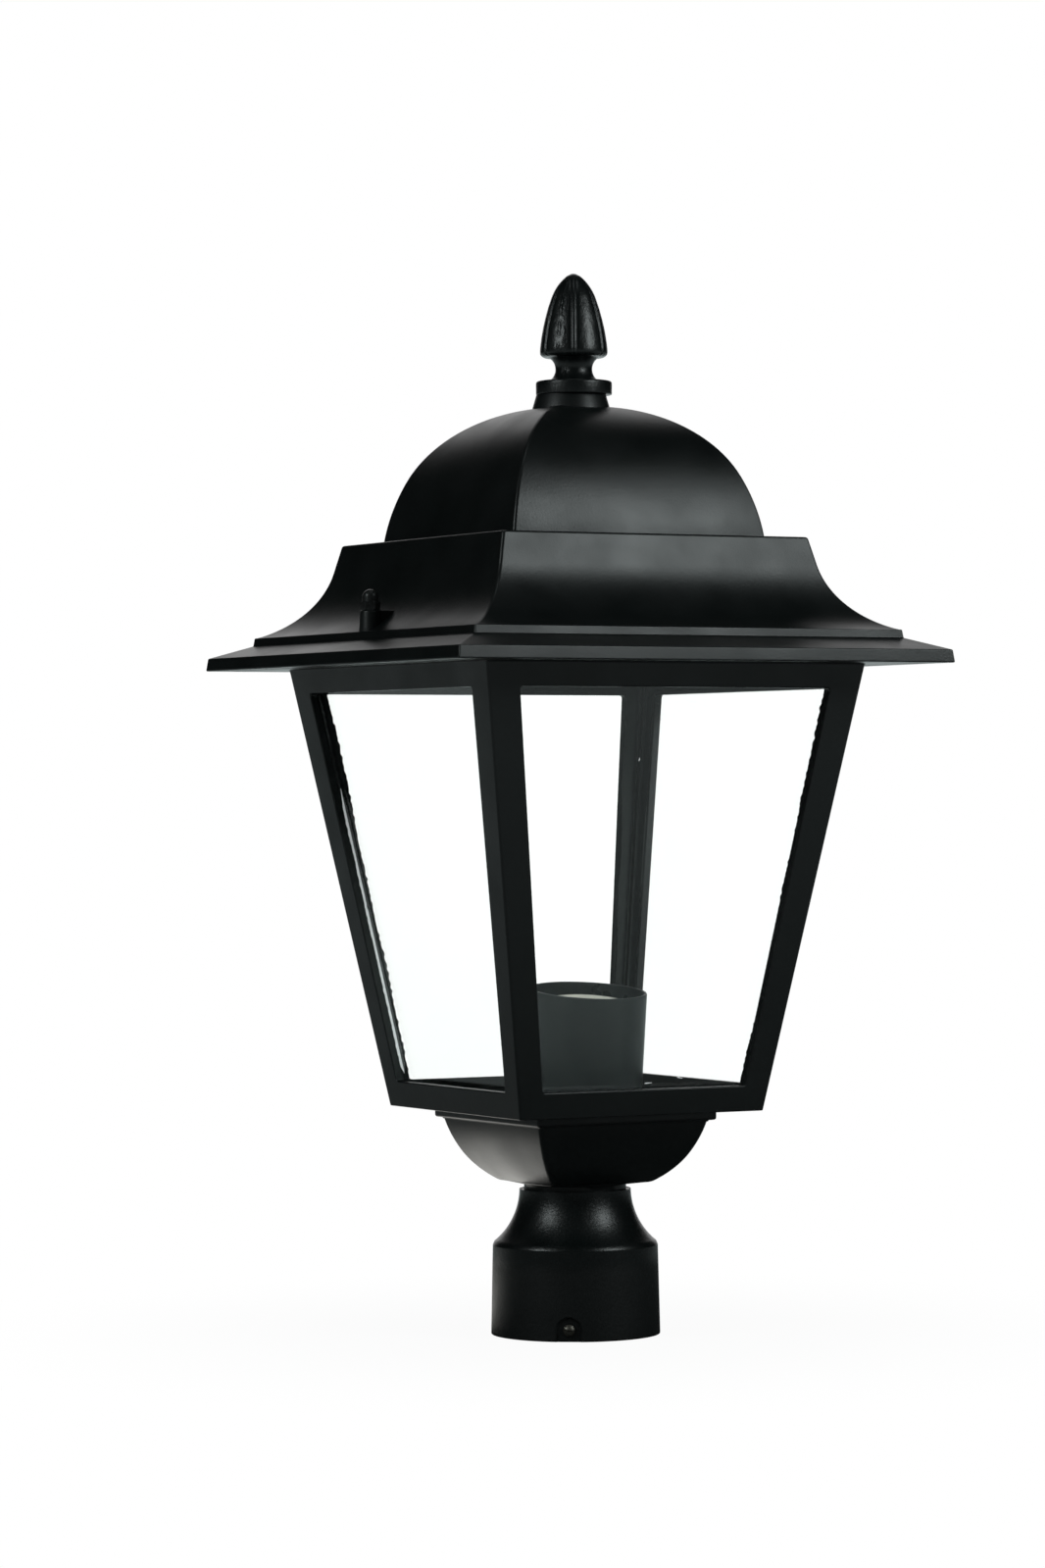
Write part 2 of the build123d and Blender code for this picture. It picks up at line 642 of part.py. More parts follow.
# Cup: a drawn can with a rolled lip
with BuildPart() as lampholder_cup:
    with BuildSketch(holder_plane(0)):
        Circle(CUP_R)
    extrude(amount=CUP_H)
    with BuildSketch(holder_plane(CUP_WALL)):
        Circle(CUP_R - CUP_WALL)
    extrude(amount=CUP_H, mode=Mode.SUBTRACT)
    with BuildSketch(holder_plane(0)):
        Circle(STEM_R)
    extrude(amount=CUP_WALL, mode=Mode.SUBTRACT)
    along = Axis(holder_plane(0).origin, holder_plane(0).z_dir)
    fillet(lampholder_cup.faces().sort_by(along)[0].edges().sort_by(SortBy.LENGTH)[-1], CUP_FOOT_EDGE_R)
    fillet(lampholder_cup.faces().sort_by(along)[-1].edges(), CUP_LIP_R)

# Porcelain body, brass shell and sprung contact
with BuildPart() as lampholder_body:
    with BuildSketch(holder_plane(CUP_WALL)):
        Circle(BODY_FOOT_R)
    extrude(amount=BODY_STEP - CUP_WALL)
    with BuildSketch(holder_plane(BODY_STEP)):
        Circle(BODY_R)
    extrude(amount=BODY_TOP - BODY_STEP)
    with BuildSketch(holder_plane(SHELL_FOOT)):
        Circle(SHELL_R)
    extrude(amount=BODY_TOP, mode=Mode.SUBTRACT)
    with BuildSketch(holder_plane(POCKET_FOOT)):
        Circle(POCKET_R)
    extrude(amount=SHELL_FOOT - POCKET_FOOT, mode=Mode.SUBTRACT)
    with BuildSketch(holder_plane(CUP_WALL)):
        Circle(STEM_R)
    extrude(amount=STEM_TOP - CUP_WALL, mode=Mode.SUBTRACT)
    with BuildSketch(holder_plane(STEM_TOP)):
        Circle(CONTACT_HOLE_R)
    extrude(amount=POCKET_FOOT - STEM_TOP, mode=Mode.SUBTRACT)
    along = Axis(holder_plane(0).origin, holder_plane(0).z_dir)
    fillet(lampholder_body.faces().sort_by(along)[-1].edges(), BODY_RIM_R)
    for side in (-1, 1):
        with BuildSketch(terminal_plane(side)):
            Circle(TERMINAL_R)
        extrude(amount=-TERMINAL_LENGTH, mode=Mode.SUBTRACT)
terminal_screws = Compound(children=[
    screw(terminal_plane(side), TERMINAL_R, TERMINAL_LENGTH, M3_HEAD_R, M3_HEAD_H) for side in (-1, 1)
])

with BuildPart() as screw_shell:
    with BuildSketch(holder_plane(SHELL_FOOT)):
        Circle(SHELL_R)
        Circle(SHELL_BORE_R, mode=Mode.SUBTRACT)
    extrude(amount=SHELL_TOP - SHELL_FOOT)

with BuildPart() as centre_contact:
    with BuildSketch(holder_plane(CONTACT_FOOT)):
        Circle(CONTACT_SHANK_R)
    extrude(amount=CONTACT_TOP - CONTACT_HEAD - CONTACT_FOOT)
    with BuildSketch(holder_plane(CONTACT_TOP - CONTACT_HEAD)):
        Circle(CONTACT_R)
    extrude(amount=CONTACT_HEAD)


def roof_outside():
    """Right half of the outline of brim, lip and cove."""
    brim_top_z = CAGE_TOP_Z + BRIM_H
    foot = on_arc(COVE_CENTRE, COVE_R, COVE_FOOT)
    head = on_arc(COVE_CENTRE, COVE_R, COVE_HEAD)
    with BuildSketch() as half:
        with BuildLine():
            Polyline(
                (0, ROOF_TOP_Z),
                (0, CAGE_TOP_Z),
                (BRIM, CAGE_TOP_Z),
                (BRIM_TOP, brim_top_z),
                (BRIM_TOP - BRIM_BEVEL[0], brim_top_z + BRIM_BEVEL[1]),
                (LIP, LIP_Z),
                foot,
            )
            add(arc_line(COVE_CENTRE, COVE_R, COVE_FOOT, COVE_HEAD))
            Polyline(head, (ROOF_TOP, ROOF_TOP_Z), (0, ROOF_TOP_Z))
        make_face()
    return half.sketch


def roof_inside():
    """Right half of the hollow under the cove, from the seat on the cage's flange."""
    seat_z = CAGE_TOP_Z + ROOF_FLANGE_H
    ceiling = ROOF_TOP_Z - ROOF_WALL
    hollow_r = COVE_R + ROOF_WALL
    foot_turn = 180 - turn_at(COVE_CENTRE, hollow_r, circle_point(COVE_CENTRE, hollow_r, ROOF_SEAT))
    foot = on_arc(COVE_CENTRE, hollow_r, foot_turn)
    head = on_arc(COVE_CENTRE, hollow_r, COVE_HEAD)
    with BuildSketch() as half:
        with BuildLine():
            Polyline((0, ceiling), (0, seat_z), (ROOF_SEAT, seat_z), foot)
            add(arc_line(COVE_CENTRE, hollow_r, foot_turn, COVE_HEAD))
            Polyline(head, (ROOF_TOP - ROOF_WALL, ceiling), (0, ceiling))
        make_face()
    return half.sketch


roof_body = square_plan(roof_outside())
roof_hollow = square_plan(roof_inside())
roof_screw_places = square_corners(ROOF_SCREW_AT, DOME_TURN)
with BuildPart() as roof_skirt:
    add(roof_body)
    fillet(roof_skirt.faces().sort_by(Axis.Z)[-1].edges(), ROOF_TOP_EDGE_R)
    with BuildSketch(Plane.XY.offset(TIE_ROOT_Z)):
        with Locations((-TIE_X, 0), (TIE_X, 0)):
            Circle(TIE_BOSS_R)
    extrude(amount=TIE_BOSS_Z - TIE_ROOT_Z, taper=TIE_BOSS_DRAFT)
    with BuildSketch(Plane.XY.offset(TIE_ROOT_Z)):
        with Locations((-TIE_X + TIE_WEB / 2, 0), (TIE_X - TIE_WEB / 2, 0)):
            Rectangle(TIE_WEB + TIE_BOSS_R, TIE_WEB_W)
    extrude(amount=TIE_BOSS_Z - TIE_ROOT_Z)
    add(roof_hollow, mode=Mode.SUBTRACT)
    with BuildSketch(Plane.XY.offset(CAGE_TOP_Z + ROOF_FLANGE_H)):
        with Locations((-TIE_X, 0), (TIE_X, 0)):
            Circle(TIE_FOOT_R)
    extrude(amount=TIE_FOOT_Z - CAGE_TOP_Z - ROOF_FLANGE_H)
    with BuildSketch(Plane.XY.offset(CAGE_TOP_Z)):
        Rectangle(2 * (ROOF_FLANGE + BRIM_SEAT_GAP), 2 * (ROOF_FLANGE + BRIM_SEAT_GAP))
    extrude(amount=ROOF_FLANGE_H, mode=Mode.SUBTRACT)
    with BuildSketch(Plane.XY.offset(ROOF_TOP_Z)):
        Rectangle(2 * ROOF_OPENING, 2 * ROOF_OPENING)
    extrude(amount=-ROOF_WALL, mode=Mode.SUBTRACT)
    with BuildSketch(Plane.XY.offset(CAGE_TOP_Z)):
        with Locations((-TIE_X, 0), (TIE_X, 0)):
            Circle(TIE_HOLE_R)
    extrude(amount=TIE_BOSS_Z - CAGE_TOP_Z, mode=Mode.SUBTRACT)
    with BuildSketch(Plane.XY.offset(ROOF_TOP_Z - ROOF_WALL)):
        with Locations(roof_screw_places):
            Circle(ROOF_SCREW_R)
    extrude(amount=ROOF_WALL, mode=Mode.SUBTRACT)


def dome_half(wall):
    """Right half of the dome's outline, drawn in by wall."""
    low_centre = on_arc(DOME_HIGH_CENTRE, DOME_HIGH_R - DOME_LOW_R, DOME_JOIN)
    foot_turn = turn_at(low_centre, DOME_LOW_R - wall, ROOF_TOP_Z)
    foot = on_arc(low_centre, DOME_LOW_R - wall, foot_turn)
    crown = on_arc(DOME_HIGH_CENTRE, DOME_HIGH_R - wall, 90)
    with BuildSketch() as half:
        with BuildLine():
            Polyline(crown, (0, crown[1]), (0, ROOF_TOP_Z), foot)
            add(arc_line(low_centre, DOME_LOW_R - wall, foot_turn, DOME_JOIN))
            add(arc_line(DOME_HIGH_CENTRE, DOME_HIGH_R - wall, DOME_JOIN, 90))
        make_face()
    return half.sketch


dome_body = square_plan(dome_half(0))
dome_hollow = square_plan(dome_half(DOME_WALL))
dome_corners = square_corners(ROOF_SCREW_AT)
washer_reach = FINIAL_WASHER_R + FINIAL_X - DOME_HIGH_CENTRE[0]
dome_ceiling_z = DOME_HIGH_CENTRE[1] + math.sqrt((DOME_HIGH_R - DOME_WALL) ** 2 - washer_reach**2)
with BuildPart() as roof_dome:
    add(dome_body)
    with BuildSketch(Plane.XZ):
        with BuildLine():
            Polyline(
                (0, COLLAR_FOOT_Z - DOME_WALL),
                (COLLAR_FOOT_R, COLLAR_FOOT_Z - DOME_WALL),
                (COLLAR_FOOT_R, COLLAR_FOOT_Z),
                (COLLAR_R, COLLAR_Z),
                (0, COLLAR_Z),
                close=True,
            )
        make_face()
    revolve(axis=Axis.Z)
    add(dome_hollow, mode=Mode.SUBTRACT)
    with BuildSketch(Plane.XY.offset(ROOF_TOP_Z)):
        with Locations(dome_corners):
            Circle(ROOF_BOSS_R)
    extrude(amount=ROOF_BOSS_H)
    with BuildSketch(Plane.XY.offset(ROOF_TOP_Z)):
        with Locations(dome_corners):
            Circle(ROOF_SCREW_R)
    extrude(amount=ROOF_SCREW_LENGTH - ROOF_WALL + HOLE_SPARE, mode=Mode.SUBTRACT)
turned_dome = roof_dome.part.rotate(Axis.Z, DOME_TURN)
with BuildPart() as drilled_dome:
    add(turned_dome)
    with BuildSketch(Plane.XY.offset(COLLAR_Z)):
        with Locations((FINIAL_X, FINIAL_Y)):
            Circle(STUD_R)
    extrude(amount=dome_ceiling_z - COLLAR_Z, mode=Mode.SUBTRACT)

roof_screws = Compound(children=[
    screw(Plane(origin=(x, y, ROOF_TOP_Z - ROOF_WALL), x_dir=(1, 0, 0), z_dir=(0, 0, -1)),
          ROOF_SCREW_R, ROOF_SCREW_LENGTH, M5_HEAD_R, M5_HEAD_H)
    for x, y in roof_screw_places
])


# Finial: disc, hollow neck and an acorn with six ribs
def finial_profile(proud):
    """Right half of the finial, its acorn let out by proud."""
    disc_top = COLLAR_Z + DISC_H
    edge = DISC_EDGE_R * (1 - math.sqrt(0.5))
    neck_turn = turn_at(NECK_CENTRE, NECK_HOLLOW_R, disc_top)
    neck_foot = on_arc(NECK_CENTRE, NECK_HOLLOW_R, 180 - neck_turn)
    neck_head = on_arc(NECK_CENTRE, NECK_HOLLOW_R, 180 + neck_turn)
    acorn_foot = (ACORN_FOOT[0] + proud, ACORN_FOOT[1])
    low_r = ACORN_LOW_R + proud
    high_r = ACORN_HIGH_R + proud
    low_turn = turn_at(ACORN_LOW_CENTRE, low_r, ACORN_WIDE[1] + ACORN_SHOULDER)
    low_end = turn_at(ACORN_LOW_CENTRE, low_r, ACORN_JOIN_Z)
    high_turn = turn_at(ACORN_HIGH_CENTRE, high_r, ACORN_JOIN_Z)
    tip_turn = math.degrees(math.acos((TIP_R - ACORN_HIGH_CENTRE[0]) / high_r))
    tip = on_arc(ACORN_HIGH_CENTRE, high_r, tip_turn)
    wide = on_arc(ACORN_LOW_CENTRE, low_r, low_turn)
    join = on_arc(ACORN_LOW_CENTRE, low_r, low_end)
    with BuildSketch() as half:
        with BuildLine():
            Polyline((0, COLLAR_Z), (DISC_R, COLLAR_Z), (DISC_R, disc_top - DISC_EDGE_R))
            ThreePointArc(
                (DISC_R, disc_top - DISC_EDGE_R),
                (DISC_R - edge, disc_top - edge),
                (DISC_R - DISC_EDGE_R, disc_top),
            )
            Line((DISC_R - DISC_EDGE_R, disc_top), neck_foot)
            add(arc_line(NECK_CENTRE, NECK_HOLLOW_R, 180 - neck_turn, 180 + neck_turn))
            Line(neck_head, acorn_foot)
            ThreePointArc(acorn_foot, (ACORN_WIDE[0] + proud, ACORN_WIDE[1]), wide)
            add(arc_line(ACORN_LOW_CENTRE, low_r, low_turn, low_end))
            ThreePointArc(join, on_arc(ACORN_HIGH_CENTRE, high_r, (high_turn + tip_turn) / 2), tip)
            Polyline(tip, (0, TIP_Z - RIB_PROUD + proud), (0, COLLAR_Z))
        make_face()
    return half.sketch


with BuildPart() as finial:
    with BuildSketch(Plane.XZ):
        add(finial_profile(0))
    revolve(axis=Axis.Z)
    for rib in range(RIBS):
        turn = math.radians(RIB_FIRST + 360 / RIBS * rib)
        side = Plane(origin=(0, 0, 0), x_dir=(math.cos(turn), math.sin(turn), 0),
                     z_dir=(math.sin(turn), -math.cos(turn), 0))
        with BuildSketch(side):
            add(finial_profile(RIB_PROUD))
            with Locations((0, ACORN_FOOT[1])):
                Rectangle(2 * DISC_R, TIP_Z, align=(Align.CENTER, Align.MIN), mode=Mode.INTERSECT)
        extrude(amount=RIB_W / 2, both=True)
    with BuildSketch(Plane.XY.offset(COLLAR_Z)):
        Circle(STUD_R)
    extrude(amount=STUD_REACH + HOLE_SPARE, mode=Mode.SUBTRACT)

finial_seat = Location((FINIAL_X, FINIAL_Y, 0))
washer_z = dome_ceiling_z - FINIAL_WASHER_H
stud_foot_z = washer_z - FINIAL_NUT_H - STUD_R
with BuildPart() as finial_stud:
    with BuildSketch(Plane.XY.offset(stud_foot_z)):
        Circle(STUD_R)
    extrude(amount=COLLAR_Z + STUD_REACH - stud_foot_z)
with BuildPart() as finial_washer:
    with BuildSketch(Plane.XY.offset(washer_z)):
        Circle(FINIAL_WASHER_R)
        Circle(STUD_R, mode=Mode.SUBTRACT)
    extrude(amount=FINIAL_WASHER_H)
under_washer = Plane(origin=(0, 0, washer_z), x_dir=(1, 0, 0), z_dir=(0, 0, -1))
finial_nut = hex_nut(under_washer, FINIAL_NUT_FLATS, FINIAL_NUT_H, STUD_R)


def tie_parts(side):
    """Stud and cap nut of the tie on one side, -1 for the left."""
    with BuildPart() as stud:
        with BuildSketch(Plane.XY.offset(CAGE_TOP_Z)):
            with Locations((side * TIE_X, 0)):
                Circle(TIE_R)
        extrude(amount=TIE_TOP_Z - CAGE_TOP_Z)
    with BuildPart() as nut:
        with BuildSketch(Plane.XY.offset(TIE_BOSS_Z)):
            with Locations((side * TIE_X, 0)):
                RegularPolygon(CAP_NUT_FLATS / 2, 6, major_radius=False, rotation=CAP_NUT_TURN)
        extrude(amount=CAP_NUT_HEX_H)
        dome_r = CAP_NUT_FLATS / 2 - CAP_NUT_STEP
        with BuildSketch(Plane.XY.offset(TIE_BOSS_Z + CAP_NUT_HEX_H)):
            with Locations((side * TIE_X, 0)):
                Circle(dome_r)
        extrude(amount=CAP_NUT_H - CAP_NUT_HEX_H)
        fillet(nut.faces().sort_by(Axis.Z)[-1].edges(), dome_r - CAP_NUT_TIP_R)
        with BuildSketch(Plane.XY.offset(TIE_BOSS_Z)):
            with Locations((side * TIE_X, 0)):
                Circle(TIE_R + THREAD_GAP)
        extrude(amount=CAP_NUT_BORE, mode=Mode.SUBTRACT)
    return stud.part, nut.part


tie_stud_left, cap_nut_left = tie_parts(-1)
tie_stud_right, cap_nut_right = tie_parts(1)

pieces = {
    "fitter": fitter.part,
    **set_screws,
    "wireway_nipple": wireway_nipple.part,
    "lower_locknut": lower_locknut,
    "upper_locknut": upper_locknut,
    "bowl": turned_bowl,
    "bowl_screws": bowl_screws,
    "cage": cage.part,
    **panes,
    "glazing_beads": glazing_beads,
    "earth_screw": earth_screw,
    "tie_stud_left": tie_stud_left,
    "tie_stud_right": tie_stud_right,
    "lampholder_strap": lampholder_strap.part,
    "strap_screws": strap_screws,
    "lampholder_stem": lampholder_stem.part,
    "stem_nut": stem_nut,
    "lampholder_cup": lampholder_cup.part,
    "lampholder_body": lampholder_body.part,
    "screw_shell": screw_shell.part,
    "terminal_screws": terminal_screws,
    "centre_contact": centre_contact.part,
    "roof_skirt": roof_skirt.part,
    "roof_dome": drilled_dome.part,
    "roof_screws": roof_screws,
    "finial": finial.part.moved(finial_seat),
    "finial_stud": finial_stud.part.moved(finial_seat),
    "finial_washer": finial_washer.part.moved(finial_seat),
    "finial_nut": finial_nut.moved(finial_seat),
    "cap_nut_left": cap_nut_left,
    "cap_nut_right": cap_nut_right,
}
os.makedirs("parts", exist_ok=True)
for name, piece in pieces.items():
    piece.label = name
    export_step(piece, f"parts/{name}.step")
    print(name, round(piece.volume), piece.bounding_box().size)
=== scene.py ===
"""Post top lantern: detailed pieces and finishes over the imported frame.

Sizes are in millimetres and become metres when a mesh is made. The origin is the centre
of the fitter's bottom rim, +Z is up, the front window faces -Y and the left one -X.
"""

from __future__ import annotations

import logging
import math
import random
from collections.abc import Callable, Sequence
from dataclasses import dataclass, field
from enum import Enum

import bmesh
import bpy
from mathutils import Matrix, Vector, noise


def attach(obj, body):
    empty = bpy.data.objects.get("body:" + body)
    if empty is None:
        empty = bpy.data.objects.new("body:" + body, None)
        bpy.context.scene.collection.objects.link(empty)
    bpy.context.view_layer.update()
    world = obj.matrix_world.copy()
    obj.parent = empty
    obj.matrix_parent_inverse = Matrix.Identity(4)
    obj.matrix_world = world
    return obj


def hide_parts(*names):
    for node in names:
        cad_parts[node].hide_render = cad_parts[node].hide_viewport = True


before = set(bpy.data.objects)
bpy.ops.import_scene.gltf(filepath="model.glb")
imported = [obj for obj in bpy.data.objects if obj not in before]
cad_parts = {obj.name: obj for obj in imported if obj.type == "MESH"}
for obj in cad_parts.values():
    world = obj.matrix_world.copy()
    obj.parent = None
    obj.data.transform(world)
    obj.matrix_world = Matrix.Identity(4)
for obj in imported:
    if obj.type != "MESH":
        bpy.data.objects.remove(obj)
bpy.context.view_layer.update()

LOG = logging.getLogger("lantern")
MM = 0.001
CORNER_STEPS = 8
ROUND_STEPS = 96
BOSS_STEPS = 24
SCREW_STEPS = 48
# Most of a noise texture's values lie between these two
NOISE_LOW, NOISE_HIGH = 0.3, 0.7
WHITE = (1.0, 1.0, 1.0, 1.0)

Pair = tuple[float, float]
Point = tuple[float, float, float]
Path = list[Pair]
Ring = list[Point]
Corners = tuple[Point, ...]
Colour = tuple[float, float, float, float]
Material = bpy.types.Material
Piece = bpy.types.Object
Socket = bpy.types.NodeSocket
Tree = bpy.types.NodeTree


# Shared sizes, as in the part's source
WIREWAY = 10.0
SCREW_TURN, SCREW_Z = 236.0, 5.8
NECK_Z = 73.3
CAGE_Z = 114.4
FLOOR_Z = 118.4
CAGE_TOP_Z = 338.5
CAGE_TOP = 107.65
CAGE_SLOPE = 0.1692
CAGE_SLANT = math.atan(CAGE_SLOPE)
CAGE_WALL = 4.6
SILL_Z, SILL = 127.5, 58.0
HEAD_Z, HEAD = 326.3, 88.0
WINDOW = ((-SILL, SILL_Z), (SILL, SILL_Z), (HEAD, HEAD_Z), (-HEAD, HEAD_Z))
TIE_X = 115.1
DOME_Z = 402.4
COLLAR_Z = 476.8


def cage_half(z: float) -> float:
    """Half width of the cage's outer faces at height z."""
    return CAGE_TOP + CAGE_SLOPE * (z - CAGE_TOP_Z)


def spot(radius: float, turn: float, z: float) -> Point:
    """The point at a radius, a turn in radians and a height."""
    return (radius * math.cos(turn), radius * math.sin(turn), z)


def linear(hex_colour: str) -> Colour:
    """Turns an sRGB hex colour to the linear values that a shader takes.

    Args:
        hex_colour: Six hex digits after a #.

    Returns:
        Red, green, blue and an alpha of 1.
    """
    parts = [int(hex_colour[i : i + 2], 16) / 255 for i in (1, 3, 5)]
    red, green, blue = (p / 12.92 if p <= 0.04045 else ((p + 0.055) / 1.055) ** 2.4 for p in parts)
    return (red, green, blue, 1.0)


def grain(size_mm: float) -> float:
    """Texture scale that gives features of size_mm."""
    return 1000 / size_mm


def add_node(
    tree: Tree, kind: str, inputs: dict[str | int, object] | None = None, **settings: object
) -> bpy.types.Node:
    """Adds one node with its settings, values and links.

    Args:
        tree: The node tree that gets it.
        kind: The node's type, without the leading ShaderNode.
        inputs: Socket name or number to a value, or to the output that feeds it.
        settings: Properties of the node itself.

    Returns:
        The new node.
    """
    node = tree.nodes.new("ShaderNode" + kind)
    for name, value in settings.items():
        setattr(node, name, value)
    for name, value in (inputs or {}).items():
        if isinstance(value, Socket):
            tree.links.new(value, node.inputs[name])
        else:
            node.inputs[name].default_value = value
    return node


def blank_material(name: str) -> tuple[Material, Tree, Socket]:
    """Makes a node material with nothing but its coordinates.

    Args:
        name: The material's name.

    Returns:
        The material, its node tree, and the place on the lantern in metres.
    """
    material = bpy.data.materials.new(name)
    material.use_nodes = True
    tree = material.node_tree
    tree.nodes.clear()
    return material, tree, add_node(tree, "TexCoord").outputs["Object"]


# ---------------------------------------------------------------- finishes


@dataclass(frozen=True)
class PowderCoat:
    """Satin black polyester powder, baked on a sand casting.

    It gives deep black with broad soft highlights, a fine orange peel, and under it the
    pits and low waves of the casting. Nibs of dust stand out of it here and there.

    Attributes:
        spread: How much smoother and how much rougher it gets in the clouds of dust.
        nibs: Height of the nibs in millimetres.
        dull: Roughness that the worn foot has more.
        dull_to: Height in millimetres up to which it is worn, or 0 for nowhere.
        dull_fade: Height over which the wear then fades.
    """

    name: str
    colour: str = "#040909"
    colour_dusty: str = "#0a1010"
    cloud_mm: float = 30.0
    roughness: float = 0.37
    spread: Pair = (0.04, 0.05)
    peel_mm: float = 1.2
    peel_height_mm: float = 0.042
    cast_mm: float = 3.2
    cast_height_mm: float = 0.03
    wave_mm: float = 38.0
    wave_height_mm: float = 0.08
    nib_mm: float = 7.0
    nibs: float = 0.02
    dull: float = 0.19
    dull_to: float = 0.0
    dull_fade: float = 6.0

    def build(self) -> Material:
        """Makes the material.

        Returns:
            The new material.
        """
        material, tree, where = blank_material(self.name)
        broad = add_node(tree, "TexNoise", {"Vector": where, "Scale": grain(self.cloud_mm), "Detail": 3.0})
        fine = add_node(tree, "TexNoise", {"Vector": where, "Scale": grain(self.peel_mm), "Detail": 2.0})
        cast = add_node(
            tree, "TexNoise", {"Vector": where, "Scale": grain(self.cast_mm), "Detail": 5.0, "Roughness": 0.65}
        )
        wave = add_node(tree, "TexNoise", {"Vector": where, "Scale": grain(self.wave_mm), "Detail": 1.0})
        specks = add_node(tree, "TexVoronoi", {"Vector": where, "Scale": grain(self.nib_mm)}, feature="F1")
        nib = add_node(
            tree,
            "MapRange",
            {
                "Value": specks.outputs["Distance"],
                "From Min": 0.02,
                "From Max": 0.09,
                "To Min": 1.0,
                "To Max": 0.0,
            },
        )
        colour = add_node(
            tree,
            "Mix",
            {0: broad.outputs["Fac"], 6: linear(self.colour), 7: linear(self.colour_dusty)},
            data_type="RGBA",
        )
        rough = add_node(
            tree,
            "MapRange",
            {
                "Value": broad.outputs["Fac"],
                "From Min": NOISE_LOW,
                "From Max": NOISE_HIGH,
                "To Min": self.roughness - self.spread[0],
                "To Max": self.roughness + self.spread[1],
            },
        )
        roughness = rough.outputs["Result"]
        if self.dull_to:
            height = add_node(tree, "SeparateXYZ", {0: where})
            worn = add_node(
                tree,
                "MapRange",
                {
                    "Value": height.outputs["Z"],
                    "From Min": self.dull_to * MM,
                    "From Max": (self.dull_to + self.dull_fade) * MM,
                    "To Min": self.dull,
                    "To Max": 0.0,
                },
            )
            duller = add_node(tree, "Math", {0: roughness, 1: worn.outputs["Result"]}, operation="ADD")
            roughness = duller.outputs["Value"]
        # Each bump lies on the one before it, from the casting out to the dust
        relief = (
            (wave.outputs["Fac"], self.wave_height_mm),
            (cast.outputs["Fac"], self.cast_height_mm),
            (fine.outputs["Fac"], self.peel_height_mm),
            (nib.outputs["Result"], self.nibs),
        )
        bumps: list[bpy.types.Node] = []
        for pattern, height_mm in relief:
            below = {"Normal": bumps[-1].outputs["Normal"]} if bumps else {}
            bumps.append(add_node(tree, "Bump", {"Height": pattern, "Distance": height_mm * MM, **below}))
        shader = add_node(
            tree,
            "BsdfPrincipled",
            {
                "Base Color": colour.outputs[2],
                "Roughness": roughness,
                "IOR": 1.5,
                "Normal": bumps[-1].outputs["Normal"],
            },
        )
        add_node(tree, "OutputMaterial", {"Surface": shader.outputs["BSDF"]})
        return material


@dataclass(frozen=True)
class FloatGlass:
    """Clear float glass, 3 mm, drawn flat on tin.

    It is all but invisible face on, with a faint cool tint, weak reflections and a trace
    of dust. Light rays pass straight through for shadows, as they do in thin glass.

    Attributes:
        film_mm: Size of the dusty patches.
        film: Values of their noise at which the dust starts, and is full.
        dust: Roughness that the dust gives.
    """

    name: str
    tint: str = "#fdfffe"
    film_mm: float = 45.0
    film: Pair = (0.55, 0.8)
    dust: float = 0.003

    def build(self) -> Material:
        """Makes the material.

        Returns:
            The new material.
        """
        material, tree, where = blank_material(self.name)
        film = add_node(
            tree, "TexNoise", {"Vector": where, "Scale": grain(self.film_mm), "Detail": 6.0, "Roughness": 0.7}
        )
        rough = add_node(
            tree,
            "MapRange",
            {
                "Value": film.outputs["Fac"],
                "From Min": self.film[0],
                "From Max": self.film[1],
                "To Max": self.dust,
            },
        )
        shader = add_node(
            tree,
            "BsdfPrincipled",
            {
                "Base Color": linear(self.tint),
                "Roughness": rough.outputs["Result"],
                "IOR": 1.52,
                "Transmission Weight": 1.0,
            },
        )
        clear = add_node(tree, "BsdfTransparent", {"Color": linear(self.tint)})
        path = add_node(tree, "LightPath")
        mixed = add_node(
            tree,
            "MixShader",
            {0: path.outputs["Is Shadow Ray"], 1: shader.outputs["BSDF"], 2: clear.outputs["BSDF"]},
        )
        add_node(tree, "OutputMaterial", {"Surface": mixed.outputs["Shader"]})
        return material


@dataclass(frozen=True)
class Translucent:
    """A solid that dims what shows through it: cured silicone or a ground glass edge.

    It gives an even body colour under a soft shine, broken by lumps or grit marks.

    Attributes:
        colour_thin: Its colour where it is thin or has most marks.
        clear: Share of the light that passes through it.
        pattern_mm: Size of the lumps or marks.
        height_mm: Their height or depth.
        detail: How many finer sizes of them there are.
    """

    name: str
    colour: str
    colour_thin: str
    clear: float
    pattern_mm: float = 4.0
    height_mm: float = 0.12
    detail: float = 4.0
    roughness: float = 0.4
    ior: float = 1.41

    def build(self) -> Material:
        """Makes the material.

        Returns:
            The new material.
        """
        material, tree, where = blank_material(self.name)
        scale = grain(self.pattern_mm)
        marks = add_node(tree, "TexNoise", {"Vector": where, "Scale": scale, "Detail": self.detail})
        bump = add_node(tree, "Bump", {"Height": marks.outputs["Fac"], "Distance": self.height_mm * MM})
        colour = add_node(
            tree,
            "Mix",
            {0: marks.outputs["Fac"], 6: linear(self.colour), 7: linear(self.colour_thin)},
            data_type="RGBA",
        )
        shader = add_node(
            tree,
            "BsdfPrincipled",
            {
                "Base Color": colour.outputs[2],
                "Roughness": self.roughness,
                "IOR": self.ior,
                "Transmission Weight": self.clear,
                "Normal": bump.outputs["Normal"],
            },
        )
        add_node(tree, "OutputMaterial", {"Surface": shader.outputs["BSDF"]})
        return material


